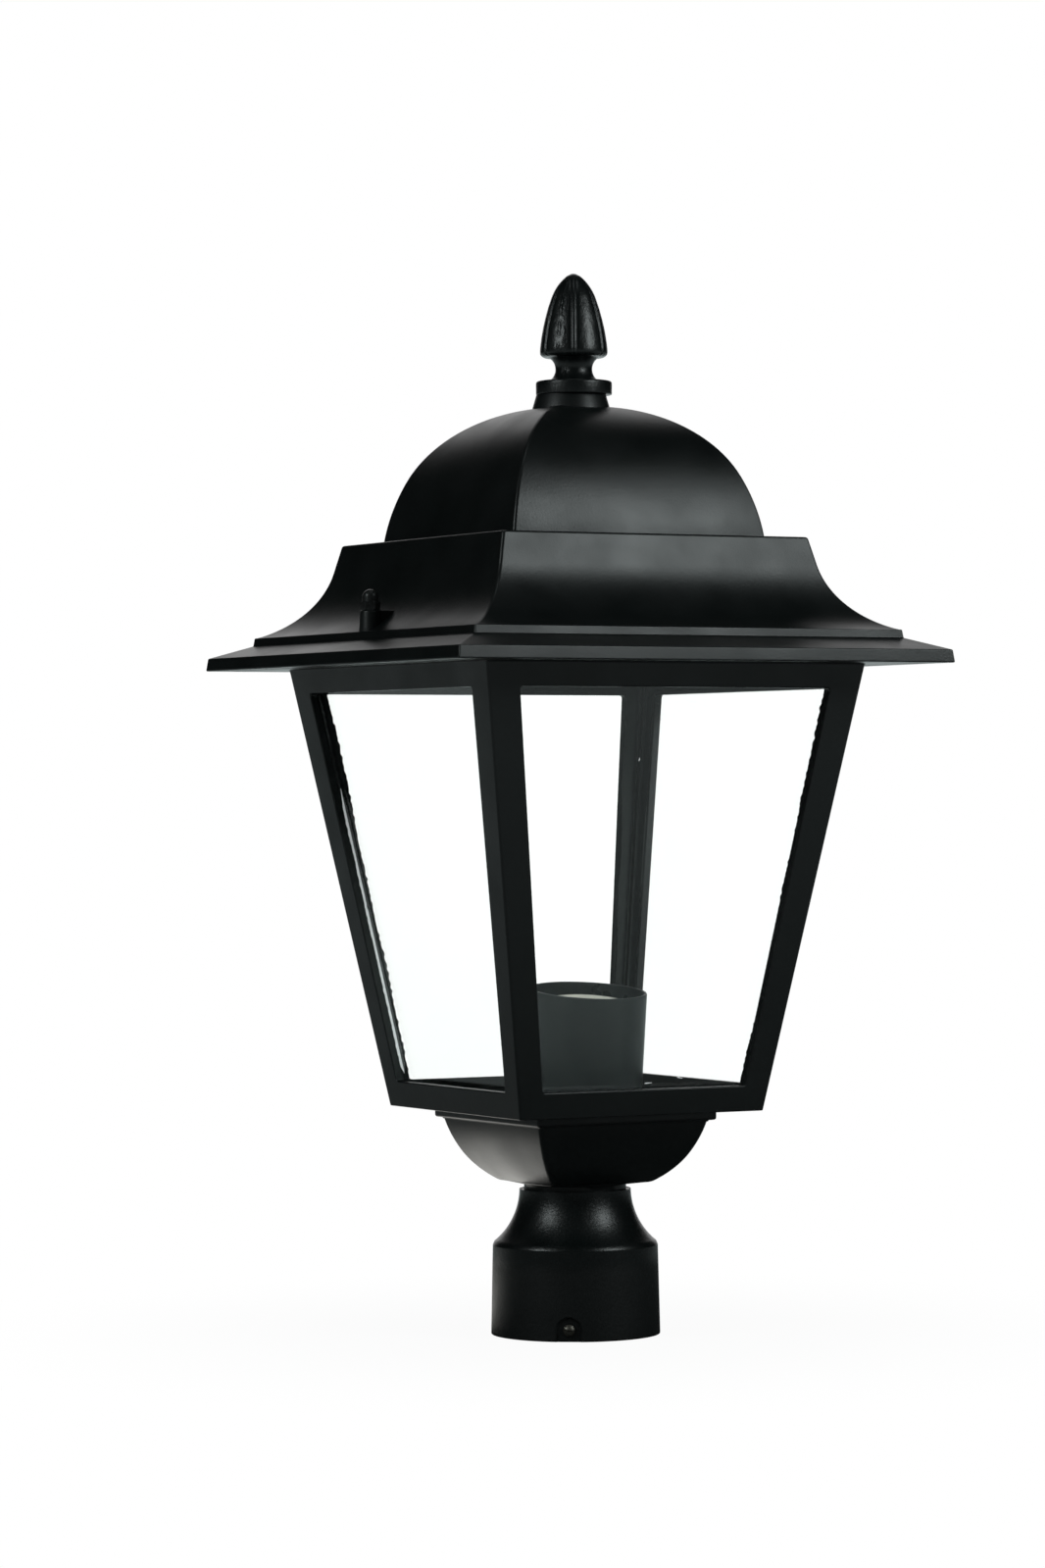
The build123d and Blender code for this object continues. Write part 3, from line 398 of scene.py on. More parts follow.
@dataclass(frozen=True)
class Metal:
    """Bare, plated or blackened metal.

    Its shine is broken by fine tool marks that run round or along the piece, by darker
    stains in patches, and by small scratches. The marks are finer than 0.2 mm and are
    drawn at 1.5 mm, or they wouldn't show.

    Attributes:
        spread: How much smoother and how much rougher it gets in the stains.
        stretch: How the marks are drawn out along each axis.
        stained: Values of the stains' noise at which a stain starts, and is full.
    """

    name: str
    colour: str
    stain: str
    roughness: float = 0.3
    spread: Pair = (0.05, 0.15)
    metallic: float = 1.0
    mark_mm: float = 1.5
    mark_height_mm: float = 0.01
    stretch: Point = (1.0, 1.0, 6.0)
    stain_mm: float = 4.0
    stained: Pair = (0.42, 0.68)

    def build(self) -> Material:
        """Makes the material.

        Returns:
            The new material.
        """
        material, tree, where = blank_material(self.name)
        drawn = add_node(tree, "Mapping", {"Vector": where, "Scale": self.stretch})
        marks = add_node(
            tree, "TexNoise", {"Vector": drawn.outputs["Vector"], "Scale": grain(self.mark_mm), "Detail": 4.0}
        )
        stains = add_node(
            tree, "TexNoise", {"Vector": where, "Scale": grain(self.stain_mm), "Detail": 5.0, "Roughness": 0.7}
        )
        patch = add_node(
            tree,
            "MapRange",
            {"Value": stains.outputs["Fac"], "From Min": self.stained[0], "From Max": self.stained[1]},
        )
        colour = add_node(
            tree,
            "Mix",
            {0: patch.outputs["Result"], 6: linear(self.colour), 7: linear(self.stain)},
            data_type="RGBA",
        )
        rough = add_node(
            tree,
            "MapRange",
            {
                "Value": stains.outputs["Fac"],
                "From Min": NOISE_LOW,
                "From Max": NOISE_HIGH,
                "To Min": self.roughness - self.spread[0],
                "To Max": self.roughness + self.spread[1],
            },
        )
        bump = add_node(tree, "Bump", {"Height": marks.outputs["Fac"], "Distance": self.mark_height_mm * MM})
        shader = add_node(
            tree,
            "BsdfPrincipled",
            {
                "Base Color": colour.outputs[2],
                "Metallic": self.metallic,
                "Roughness": rough.outputs["Result"],
                "Normal": bump.outputs["Normal"],
            },
        )
        add_node(tree, "OutputMaterial", {"Surface": shader.outputs["BSDF"]})
        return material


@dataclass(frozen=True)
class Coat:
    """A thin even coat or glaze: stove enamel, lacquer or porcelain glaze.

    It gives a calm surface with a low mottle in its colour, its shine and its flow.

    Attributes:
        colour_worn: Its colour where it is thin or worn.
        spread: Shares of its roughness that the smoothest and the roughest places have.
        pattern_mm: Size of the mottle.
        height_mm: Height of its flow.
    """

    name: str
    colour: str
    colour_worn: str
    roughness: float
    spread: Pair = (0.9, 1.15)
    pattern_mm: float = 6.0
    height_mm: float = 0.02
    ior: float = 1.5

    def build(self) -> Material:
        """Makes the material.

        Returns:
            The new material.
        """
        material, tree, where = blank_material(self.name)
        mottle = add_node(tree, "TexNoise", {"Vector": where, "Scale": grain(self.pattern_mm), "Detail": 4.0})
        colour = add_node(
            tree,
            "Mix",
            {0: mottle.outputs["Fac"], 6: linear(self.colour), 7: linear(self.colour_worn)},
            data_type="RGBA",
        )
        rough = add_node(
            tree,
            "MapRange",
            {
                "Value": mottle.outputs["Fac"],
                "From Min": NOISE_LOW,
                "From Max": NOISE_HIGH,
                "To Min": self.roughness * self.spread[0],
                "To Max": self.roughness * self.spread[1],
            },
        )
        bump = add_node(tree, "Bump", {"Height": mottle.outputs["Fac"], "Distance": self.height_mm * MM})
        shader = add_node(
            tree,
            "BsdfPrincipled",
            {
                "Base Color": colour.outputs[2],
                "Roughness": rough.outputs["Result"],
                "IOR": self.ior,
                "Normal": bump.outputs["Normal"],
            },
        )
        add_node(tree, "OutputMaterial", {"Surface": shader.outputs["BSDF"]})
        return material


class Finish(Enum):
    """Every finish on the lantern."""

    CASTING = PowderCoat("powder_coated_casting")
    ROUGH_CASTING = PowderCoat(
        "powder_coated_rough_casting",
        cast_mm=2.2,
        cast_height_mm=0.12,
        peel_height_mm=0.08,
        roughness=0.31,
        nibs=0.05,
        dull_to=34.0,
    )
    GLASS = FloatGlass("float_glass")
    # Ground on a stone: grey-green and frosted. Its marks are finer than 0.1 mm, and are
    # drawn at 0.8 mm, or they wouldn't show
    GLASS_EDGE = Translucent(
        "seamed_glass_edge",
        "#1b2320",
        "#3a4641",
        clear=0.5,
        pattern_mm=0.8,
        height_mm=0.05,
        detail=3.0,
        roughness=0.45,
        ior=1.52,
    )
    # Clear silicone, tooled by finger: a soft wet shine, and dark from the casting behind it
    SILICONE = Translucent("glazing_silicone", "#0d1110", "#1c2120", clear=0.2)
    # White silicone, squeezed out and left: bright and lumpy
    SQUEEZED = Translucent("squeezed_out_silicone", "#f6f8f7", "#ffffff", clear=0.1)
    ZINC = Metal("zinc_plated_steel", "#a9aaa6", "#8a8b86", roughness=0.32)
    STEEL = Metal("worn_bare_steel", "#8b8880", "#4e4a43", roughness=0.42, stain_mm=1.6)
    BLACK_NUT = Metal("blackened_steel", "#2b2d2d", "#171919", metallic=0.6)
    BRASS = Metal("drawn_brass", "#c79a4b", "#9c7434", roughness=0.26)
    ENAMEL = Coat("stoved_black_enamel", "#262b2b", "#2e3333", roughness=0.3, pattern_mm=18.0, height_mm=0.015)
    PORCELAIN = Coat("glazed_porcelain", "#e8e5dc", "#dcd8cd", roughness=0.16, pattern_mm=9.0, ior=1.52)
    GREEN = Coat("green_bonding_lacquer", "#1d6b35", "#2a7d42", roughness=0.35, pattern_mm=2.0)

    def material(self) -> Material:
        """The finish's material, made once."""
        made = bpy.data.materials.get(self.value.name)
        return made or self.value.build()


# ---------------------------------------------------------------- outlines and shells


@dataclass
class Outline:
    """A half outline, drawn point by point, with rounded corners.

    Attributes:
        corners: Each corner as distance from the axis, height and rounding radius.
        steps: Short lines that round a corner.
    """

    corners: list[Point] = field(default_factory=list)
    steps: int = 4

    def to(self, half: float, z: float, radius: float = 0.0) -> Outline:
        """Adds a corner, rounded by radius."""
        self.corners.append((half, z, radius))
        return self

    def along(self, corners: Corners) -> Outline:
        """Adds several corners."""
        self.corners.extend(corners)
        return self

    def arc(self, centre: Pair, radius: float, first: float, last: float, count: int) -> Outline:
        """Adds points along an arc.

        Args:
            centre: The arc's centre.
            radius: Its radius.
            first: Turn of its first point, in degrees from the outward direction.
            last: Turn of its last point.
            count: How many steps it has.

        Returns:
            This outline.
        """
        for step in range(count + 1):
            half, rise, _ = spot(radius, math.radians(first + (last - first) * step / count), 0.0)
            self.corners.append((centre[0] + half, centre[1] + rise, 0.0))
        return self

    def points(self, closed: bool = True) -> Path:
        """The outline's points, with its corners rounded.

        Args:
            closed: Whether the last corner leads back to the first.

        Returns:
            Distance from the axis and height of each point.
        """
        path: Path = []
        count = len(self.corners)
        for index, (half, z, radius) in enumerate(self.corners):
            at_end = not closed and index in (0, count - 1)
            if radius <= 0 or at_end:
                path.append((half, z))
                continue
            here = Vector((half, z))
            before = Vector(self.corners[index - 1][:2])
            after = Vector(self.corners[(index + 1) % count][:2])
            back, ahead = (before - here), (after - here)
            bend = back.angle(ahead)
            reach = min(radius / math.tan(bend / 2), back.length * 0.49, ahead.length * 0.49)
            start, end = here + back.normalized() * reach, here + ahead.normalized() * reach
            for step in range(self.steps + 1):
                t = step / self.steps
                point = start * (1 - t) ** 2 + here * 2 * t * (1 - t) + end * t**2
                path.append((point.x, point.y))
        return path


def square_ring(half: float, z: float, corner: float) -> Ring:
    """A rounded square of points.

    Args:
        half: Half its width.
        z: Its height.
        corner: Rounding of its corners; one as large as half makes it round.

    Returns:
        Its points, counterclockwise from the corner between +X and +Y.
    """
    corner = min(corner, half)
    ring: Ring = []
    for side in range(4):
        base = math.pi / 2 * side
        centre = spot((half - corner) * math.sqrt(2), base + math.pi / 4, z)
        for step in range(CORNER_STEPS + 1):
            rim = spot(corner, base + math.pi / 2 * step / CORNER_STEPS, z)
            ring.append((centre[0] + rim[0], centre[1] + rim[1], z))
    return ring


def round_ring(radius: float, z: float, steps: int = ROUND_STEPS) -> Ring:
    """A circle of points at height z."""
    return [spot(radius, math.tau * step / steps, z) for step in range(steps)]


def next_centre(centre: Pair, gap: float, turn: float) -> Pair:
    """Centre of an arc that runs on smoothly from another.

    Args:
        centre: The other arc's centre.
        gap: The other arc's radius less this one's.
        turn: Turn where they meet, in degrees.

    Returns:
        The arc's centre.
    """
    half, rise, _ = spot(gap, math.radians(turn), 0.0)
    return (centre[0] + half, centre[1] + rise)


@dataclass
class Shell:
    """A mesh in the making, in millimetres.

    Attributes:
        points: Its points.
        faces: Its faces, by point number.
        marks: The material number of each face.
    """

    points: list[Point] = field(default_factory=list)
    faces: list[tuple[int, ...]] = field(default_factory=list)
    marks: list[int] = field(default_factory=list)

    def add_points(self, points: Sequence[Point]) -> list[int]:
        """Adds points.

        Args:
            points: The points.

        Returns:
            Their numbers.
        """
        first = len(self.points)
        self.points.extend(points)
        return list(range(first, len(self.points)))

    def add_face(self, numbers: Sequence[int], mark: int = 0) -> None:
        """Adds one face."""
        self.faces.append(tuple(numbers))
        self.marks.append(mark)

    def loft(
        self,
        rings: Sequence[Ring],
        closed: bool = False,
        caps: bool = False,
        skip: Callable[[int, int], bool] | None = None,
    ) -> Shell:
        """Joins rings of equal length with four-sided faces.

        Args:
            rings: The rings, in order.
            closed: Whether the last ring joins the first.
            caps: Whether the first and last ring are closed by one face each.
            skip: Says for a ring and a place on it whether its face is left out.

        Returns:
            This shell.
        """
        numbers = [self.add_points(ring) for ring in rings]
        pairs = list(zip(numbers, numbers[1:]))
        if closed:
            pairs.append((numbers[-1], numbers[0]))
        for row, (low, high) in enumerate(pairs):
            size = len(low)
            for step in range(size):
                if skip and skip(row, step):
                    continue
                after = (step + 1) % size
                self.add_face((low[step], low[after], high[after], high[step]))
        if caps:
            self.add_face(list(reversed(numbers[0])))
            self.add_face(numbers[-1])
        return self

    def turned(self, path: Path, steps: int = ROUND_STEPS) -> Shell:
        """Adds a turned body with that half outline."""
        return self.loft([round_ring(half, z, steps) for half, z in path], closed=True)

    def moved(self, matrix: Matrix) -> Shell:
        """Moves every point by the matrix, in millimetres."""
        self.points = [tuple(matrix @ Vector(point)) for point in self.points]
        return self

    def join(self, other: Shell) -> None:
        """Adds another shell's points and faces.

        Args:
            other: The other shell, already in its place.
        """
        first = len(self.points)
        self.points += other.points
        self.faces += [tuple(number + first for number in face) for face in other.faces]
        self.marks += other.marks

    def bosses(self, outline: Outline, spacing: float) -> None:
        """Adds four turned bosses.

        Args:
            outline: Half outline of a boss.
            spacing: Distance of their axes from both middle lines.
        """
        for x in (-spacing, spacing):
            for y in (-spacing, spacing):
                boss = Shell().turned(outline.points(), BOSS_STEPS)
                self.join(boss.moved(Matrix.Translation((x, y, 0))))

    def build(self, name: str, crease: float = 38.0) -> Piece:
        """Makes the mesh object.

        Args:
            name: The object's name.
            crease: Edges that bend more than this many degrees stay sharp.

        Returns:
            The object, linked to the scene.
        """
        mesh = bpy.data.meshes.new(name)
        mesh.from_pydata([(x * MM, y * MM, z * MM) for x, y, z in self.points], [], self.faces)
        mesh.polygons.foreach_set("material_index", self.marks)
        work = bmesh.new()
        work.from_mesh(mesh)
        bmesh.ops.remove_doubles(work, verts=work.verts, dist=1e-6)
        bmesh.ops.recalc_face_normals(work, faces=work.faces)
        work.to_mesh(mesh)
        work.free()
        mesh.shade_smooth()
        mesh.set_sharp_from_angle(angle=math.radians(crease))
        piece = bpy.data.objects.new(name, mesh)
        bpy.context.scene.collection.objects.link(piece)
        return piece


def soften(piece: Piece, width_mm: float, steps: int = 2, angle: float = 40.0) -> None:
    """Rounds a piece's sharp edges, then evens the shading of its flats.

    Args:
        piece: The piece.
        width_mm: Width of the rounding, or 0 for none.
        steps: Short lines across the rounding.
        angle: Edges that bend more than this many degrees are rounded.
    """
    if width_mm > 0:
        bevel = piece.modifiers.new("edge_rounding", "BEVEL")
        bevel.width = width_mm * MM
        bevel.segments = steps
        bevel.limit_method = "ANGLE"
        bevel.angle_limit = math.radians(angle)
    flats = piece.modifiers.new("flat_shading", "WEIGHTED_NORMAL")
    flats.keep_sharp = True
    flats.weight = 60


def cut(piece: Piece, tool: Piece, crease: float = 35.0) -> None:
    """Cuts the tool's volume out of the piece and removes the tool.

    Args:
        piece: The piece that is cut.
        tool: The closed mesh that cuts it.
        crease: Edges that bend more than this many degrees stay sharp.
    """
    saw = piece.modifiers.new("cut", "BOOLEAN")
    saw.object = tool
    saw.operation = "DIFFERENCE"
    saw.solver = "EXACT"
    graph = bpy.context.evaluated_depsgraph_get()
    mesh = bpy.data.meshes.new_from_object(piece.evaluated_get(graph))
    piece.modifiers.remove(saw)
    piece.data = mesh
    bpy.data.objects.remove(tool)
    mesh.set_sharp_from_angle(angle=math.radians(crease))


def block(size: Point, z: float) -> Shell:
    """A plain block for cutting.

    Args:
        size: Its width, depth and height.
        z: Height of its middle, which stands on the axis.

    Returns:
        Its mesh.
    """
    half = [value / 2 for value in size]
    ring = [(-half[0], -half[1]), (half[0], -half[1]), (half[0], half[1]), (-half[0], half[1])]
    return Shell().loft([[(x, y, z + rise) for x, y in ring] for rise in (-half[2], half[2])], caps=True)


class Assembly:
    """What the lantern's sub-assemblies share: seating and dressing pieces."""

    body: str = "lantern"

    def seat(
        self,
        piece: Piece,
        slot: str,
        finishes: Sequence[Finish],
        replaces: Sequence[str] = (),
        body: str | None = None,
    ) -> None:
        """Gives a piece its finishes, its body and the nodes that it stands for.

        Args:
            piece: The new piece.
            slot: The record's material slot; not used.
            finishes: Its finishes, in the order of its material numbers.
            replaces: CAD nodes that it stands for.
            body: The body that it rides on, or None for the assembly's own.
        """
        for finish in finishes:
            piece.data.materials.append(finish.material())
        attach(piece, body or self.body)
        if replaces:
            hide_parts(*replaces)
        LOG.info("%s on %s, %d faces", piece.name, body or self.body, len(piece.data.polygons))

    def dress(self, finish: Finish, *nodes: str) -> None:
        """Gives CAD nodes that stay a better finish.

        Args:
            finish: The finish.
            nodes: Names of the nodes.
        """
        for node in nodes:
            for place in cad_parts[node].material_slots:
                place.material = finish.material()
            LOG.info("%s dressed as %s", node, finish.value.name)


# ---------------------------------------------------------------- sub-assemblies


@dataclass
class Fitter(Assembly):
    """The post fitter: a turned casting with three arched pads.

    Attributes:
        bore: Radius of the post's bore.
        ledge: Radius and height of the ledge that stops the post.
        skirt: Radius at the bottom rim.
        levels: Heights at which the skirt has points.
        shoulder: Radius and height of the shoulder.
        inset: How far the flare starts inside the shoulder.
        neck: Radius of the neck at its narrowest.
        web: Thickness of the web under the neck's top.
        wall: Wall thickness of the flare.
        flare: Radius of the hollow flare.
        flare_z: Height of its narrowest point.
        flare_ends: Turns where it ends at the neck, outside and inside, in degrees.
        pad: Distance of the pads from the axis.
        pad_half: Half width of a pad.
        pad_turn: Turn to either side that a pad can't reach past.
        pad_wall: Depth and width of the soft wall round a pad.
        pad_zone: Radius beyond which, and height below which, the pads cut the skirt.
        hole_r: Radius of a set screw's hole.
        hole_ends: Distances from the axis between which it is cut.
        around: Points round the casting.
    """

    bore: float = 38.5
    ledge: Pair = (35.0, 40.0)
    skirt: float = 42.96
    levels: tuple[float, ...] = (2.0, 4.0, 6.0, 8.0, 10.0, 12.0, 14.0, 16.0, 20.0, 30.0)
    shoulder: Pair = (41.95, 45.3)
    inset: float = 0.75
    neck: float = 28.3
    web: float = 6.0
    wall: float = 4.0
    flare: float = 35.3
    flare_z: float = 74.3
    flare_ends: Pair = (-178.9, -168.3)
    pad: float = 41.3
    pad_half: float = 6.5
    pad_turn: float = 0.4
    pad_wall: Pair = (3.0, 1.5)
    pad_zone: Pair = (41.0, 16.0)
    hole_r: float = 3.1
    hole_ends: Pair = (34.5, 50.0)
    around: int = 540

    def outline(self) -> Path:
        """The fitter's closed half outline.

        Returns:
            Its points, from the rim's outside up, and down again inside.
        """
        centre = (self.neck + self.flare, self.flare_z)
        foot = self.shoulder[0] - self.inset
        foot_turn = math.degrees(math.acos((foot - centre[0]) / self.flare))
        inner = self.flare + self.wall
        inner_turn = math.degrees(math.acos((self.ledge[0] - centre[0]) / inner))
        under = NECK_Z - self.web
        line = Outline(steps=3).to(self.skirt, 0, 0.6)
        for z in self.levels:
            line.to(self.skirt - (self.skirt - self.shoulder[0]) * z / self.shoulder[1], z)
        line.to(*self.shoulder, 0.9)
        line.arc(centre, self.flare, -foot_turn, self.flare_ends[0], 18)
        line.to(self.neck, NECK_Z, 0.4).to(WIREWAY, NECK_Z, 0.3).to(WIREWAY, under)
        line.to(centre[0] - math.sqrt(inner**2 - (self.flare_z - under) ** 2), under, 1.0)
        line.arc(centre, inner, self.flare_ends[1], -inner_turn, 10)
        line.to(*self.ledge, 0.3).to(self.bore, self.ledge[1]).to(self.bore, 0.0, 0.4)
        return line.points()

    def pad_distance(self, turn: float, z: float) -> float:
        """Largest radius that the pads leave at a place.

        Args:
            turn: Turn of the place, in degrees.
            z: Its height.

        Returns:
            The radius, which is infinite away from the pads.
        """
        depth, blend = self.pad_wall
        limit = math.inf
        for number in range(3):
            off = math.radians((turn - SCREW_TURN - 120 * number + 180) % 360 - 180)
            if abs(off) > self.pad_turn:
                continue
            plane = self.pad / math.cos(off)
            across = plane * math.sin(off)
            rise = max(0.0, z - SCREW_Z)
            edge = math.hypot(across, rise) - self.pad_half
            wall = max(0.0, min(1.0, edge / blend + 0.5))
            limit = min(limit, plane + depth * wall * wall * (3 - 2 * wall))
        return limit

    def tapped_hole(self, turn: float) -> Shell:
        """The hole that a set screw turns in.

        Args:
            turn: Turn of the screw, in degrees.

        Returns:
            The hole's volume, from the bore to outside the skirt.
        """
        out = Vector(spot(1.0, math.radians(turn), 0.0))
        across = Vector((-out.y, out.x, 0))
        rings = []
        for distance in self.hole_ends:
            ring = []
            for step in range(SCREW_STEPS):
                spin = math.tau * step / SCREW_STEPS
                rim = across * math.cos(spin) + Vector((0, 0, math.sin(spin)))
                ring.append(tuple(out * distance + rim * self.hole_r + Vector((0, 0, SCREW_Z))))
            rings.append(ring)
        return Shell().loft(rings, caps=True)

    def build(self) -> None:
        """Makes the fitter and dresses what sits in it."""
        path = self.outline()
        zone_r, zone_z = self.pad_zone
        fine: Path = []
        for (half, z), (next_half, next_z) in zip(path, path[1:] + path[:1]):
            parts = 4 if max(z, next_z) <= zone_z and min(half, next_half) > zone_r else 1
            fine += [(half + (next_half - half) * k / parts, z + (next_z - z) * k / parts) for k in range(parts)]
        rings = []
        for half, z in fine:
            ring = []
            for step in range(self.around):
                turn = 360 * step / self.around
                radius = min(half, self.pad_distance(turn, z)) if half > zone_r and z < zone_z else half
                ring.append(spot(radius, math.radians(turn), z))
            rings.append(ring)
        shell = Shell().loft(rings, closed=True)
        piece = shell.build("fitter_casting", crease=60)
        for number in range(3):
            cut(piece, self.tapped_hole(SCREW_TURN + 120 * number).build("hole_tool"))
        self.seat(piece, "black_casting", [Finish.ROUGH_CASTING], ["fitter"])
        self.dress(Finish.ZINC, "wireway_nipple", "lower_locknut", "upper_locknut")


@dataclass
class SetScrews(Assembly):
    """Three slotted M6 set screws in the fitter's pads.

    Attributes:
        radius: Radius of the thread.
        pitch: Distance from thread to thread.
        depth: Depth of the thread.
        length: Length of a screw.
        tip: Distance of the tips from the axis.
        plain: Length without thread at both ends.
        chamfer: Length and slope of the bevel at both ends.
        crown: Height of the domed end.
        dome: Radii of the dome's rings, as shares of the screw's.
        slot: Length, width and depth of the slot's cutter.
        slopes: Turn of each slot, in degrees.
    """

    radius: float = 3.0
    pitch: float = 1.0
    depth: float = 0.28
    length: float = 5.0
    tip: float = 39.1
    plain: float = 0.3
    chamfer: Pair = (0.45, 0.9)
    crown: float = 0.9
    dome: tuple[float, ...] = (0.85, 0.75, 0.6, 0.4, 0.15)
    slot: Point = (8.0, 1.0, 2.4)
    slopes: Point = (-11.0, 32.0, 68.0)

    def screw(self) -> Shell:
        """A screw without its slot.

        Returns:
            Its mesh, with the tip at height 0 and the domed end up.
        """
        straight = self.length - self.crown
        levels = 40
        rings = []
        for level in range(levels + 1):
            z = straight * level / levels
            end = min(z, straight - z)
            crest = self.radius - max(0.0, self.chamfer[0] - end) * self.chamfer[1]
            depth = 0.0 if end < self.plain else self.depth
            ring = []
            for step in range(SCREW_STEPS):
                turn = math.tau * step / SCREW_STEPS
                wave = 0.5 + 0.5 * math.cos(math.tau * z / self.pitch - turn)
                ring.append(spot(min(crest, self.radius - depth * wave), turn, z))
            rings.append(ring)
        for share in self.dome:
            z = self.length - self.crown * share * share / 0.8
            rings.append(round_ring(self.radius * share, z, SCREW_STEPS))
        return Shell().loft(rings, caps=True)

    def build(self) -> None:
        """Makes the three screws."""
        for number, slope in enumerate(self.slopes):
            piece = self.screw().build(f"set_screw_{number + 1}_body", crease=35)
            tool = block(self.slot, self.length).moved(Matrix.Rotation(math.radians(slope), 4, "Z"))
            cut(piece, tool.build("slot_tool"))
            out = Vector(spot(1.0, math.radians(SCREW_TURN + 120 * number), 0.0))
            across = Vector((-out.y, out.x, 0))
            place = Matrix((across, Vector((0, 0, 1)), out)).transposed().to_4x4()
            place.translation = (out * self.tip + Vector((0, 0, SCREW_Z))) * MM
            piece.data.transform(place)
            self.seat(piece, "bare_steel", [Finish.STEEL], [f"set_screw_{number + 1}"], f"screw_{number + 1}")


@dataclass
class Bowl(Assembly):
    """The square rounded bowl between fitter and cage.

    Attributes:
        low_centre: Centre of the lower arc.
        low_r: Its radius.
        high_r: Radius of the upper arc.
        join: Turn where the arcs meet, in degrees.
        rim_turn: Turn where the upper arc ends.
        wall: Wall thickness.
        hip: Rounding of the hips, of the flange's corners and of the hollow's.
        flange: Corners of the flange's outline, from inside out.
        spigot: Radius of the round spigot and height of the underside beside it.
        draft: How much the underside rises per millimetre outwards.
        floor: Height of the floor inside.
        boss: Corners of a screw boss's outline.
        boss_at: Distance of the bosses from both middle lines.
        turn: How far the bowl stands turned under the cage, in degrees.
    """

    low_centre: Pair = (5.5, 113.7)
    low_r: float = 43.2
    high_r: float = 67.4
    join: float = -28.0
    rim_turn: float = -13.8
    wall: float = 4.0
    hip: Point = (3.2, 1.6, 1.2)
    flange: Corners = (
        (46.0, CAGE_Z, 0.0),
        (52.5, CAGE_Z, 0.4),
        (52.5, 109.2, 1.3),
        (49.8, 109.2, 0.4),
        (49.5, 108.4, 0.0),
    )
    spigot: Pair = (26.0, 76.4)
    draft: float = 0.088
    floor: float = 81.2
    boss: Corners = ((2.5, 98.4, 0.0), (5.2, 98.4, 1.0), (5.2, CAGE_Z, 0.3), (2.5, CAGE_Z, 0.0))
    boss_at: float = 38.0
    turn: float = 1.8

    def on_cone(self, ring: Ring) -> Ring:
        """Lifts a ring's points onto the underside's shallow cone where they lie under it.

        Args:
            ring: The ring.

        Returns:
            The lifted ring.
        """
        radius, under = self.spigot
        return [(x, y, max(z, under + self.draft * (math.hypot(x, y) - radius))) for x, y, z in ring]

    def rings(self) -> list[Ring]:
        """The bowl's rings.

        Returns:
            Rings from the flange's inside round to the hollow's mouth.
        """
        high = next_centre(self.low_centre, self.low_r - self.high_r, self.join)
        radius, under = self.spigot
        foot = math.degrees(math.asin((under - self.low_centre[1]) / self.low_r))
        inner_foot = math.degrees(math.asin((self.floor - self.low_centre[1]) / (self.low_r - self.wall)))
        flange = Outline([*self.flange], steps=3)
        skin = Outline().arc(high, self.high_r, self.rim_turn, self.join, 10)
        skin.arc(self.low_centre, self.low_r, self.join, foot, 26)
        hollow = Outline().arc(self.low_centre, self.low_r - self.wall, inner_foot, self.join, 8)
        hollow.arc(high, self.high_r - self.wall, self.join, self.rim_turn, 6)
        hip, flange_hip, hollow_hip = self.hip
        rings = [square_ring(half, z, flange_hip) for half, z in flange.points(closed=False)]
        rings += [self.on_cone(square_ring(half, z, hip)) for half, z in skin.points(closed=False)]
        # The square underside turns round as it nears the spigot
        rings += [self.on_cone(square_ring(half, under, half * 0.98)) for half in (radius + 0.9, radius + 0.2)]
        rings += [square_ring(radius, z, radius) for z in (under - 0.3, NECK_Z)]
        rings += [square_ring(WIREWAY, z, WIREWAY) for z in (NECK_Z, self.floor)]
        rings += [square_ring(20.0, self.floor, 14.0)]
        rings += [square_ring(half, z, hollow_hip) for half, z in hollow.points(closed=False)]
        return rings

    def build(self) -> None:
        """Makes the bowl with its four screw bosses."""
        shell = Shell().loft(self.rings(), closed=True)
        shell.bosses(Outline([*self.boss], steps=2), self.boss_at)
        shell.moved(Matrix.Rotation(math.radians(self.turn), 4, "Z"))
        self.seat(shell.build("bowl_casting"), "black_casting", [Finish.CASTING], ["bowl"])
        self.dress(Finish.ZINC, "bowl_screws")


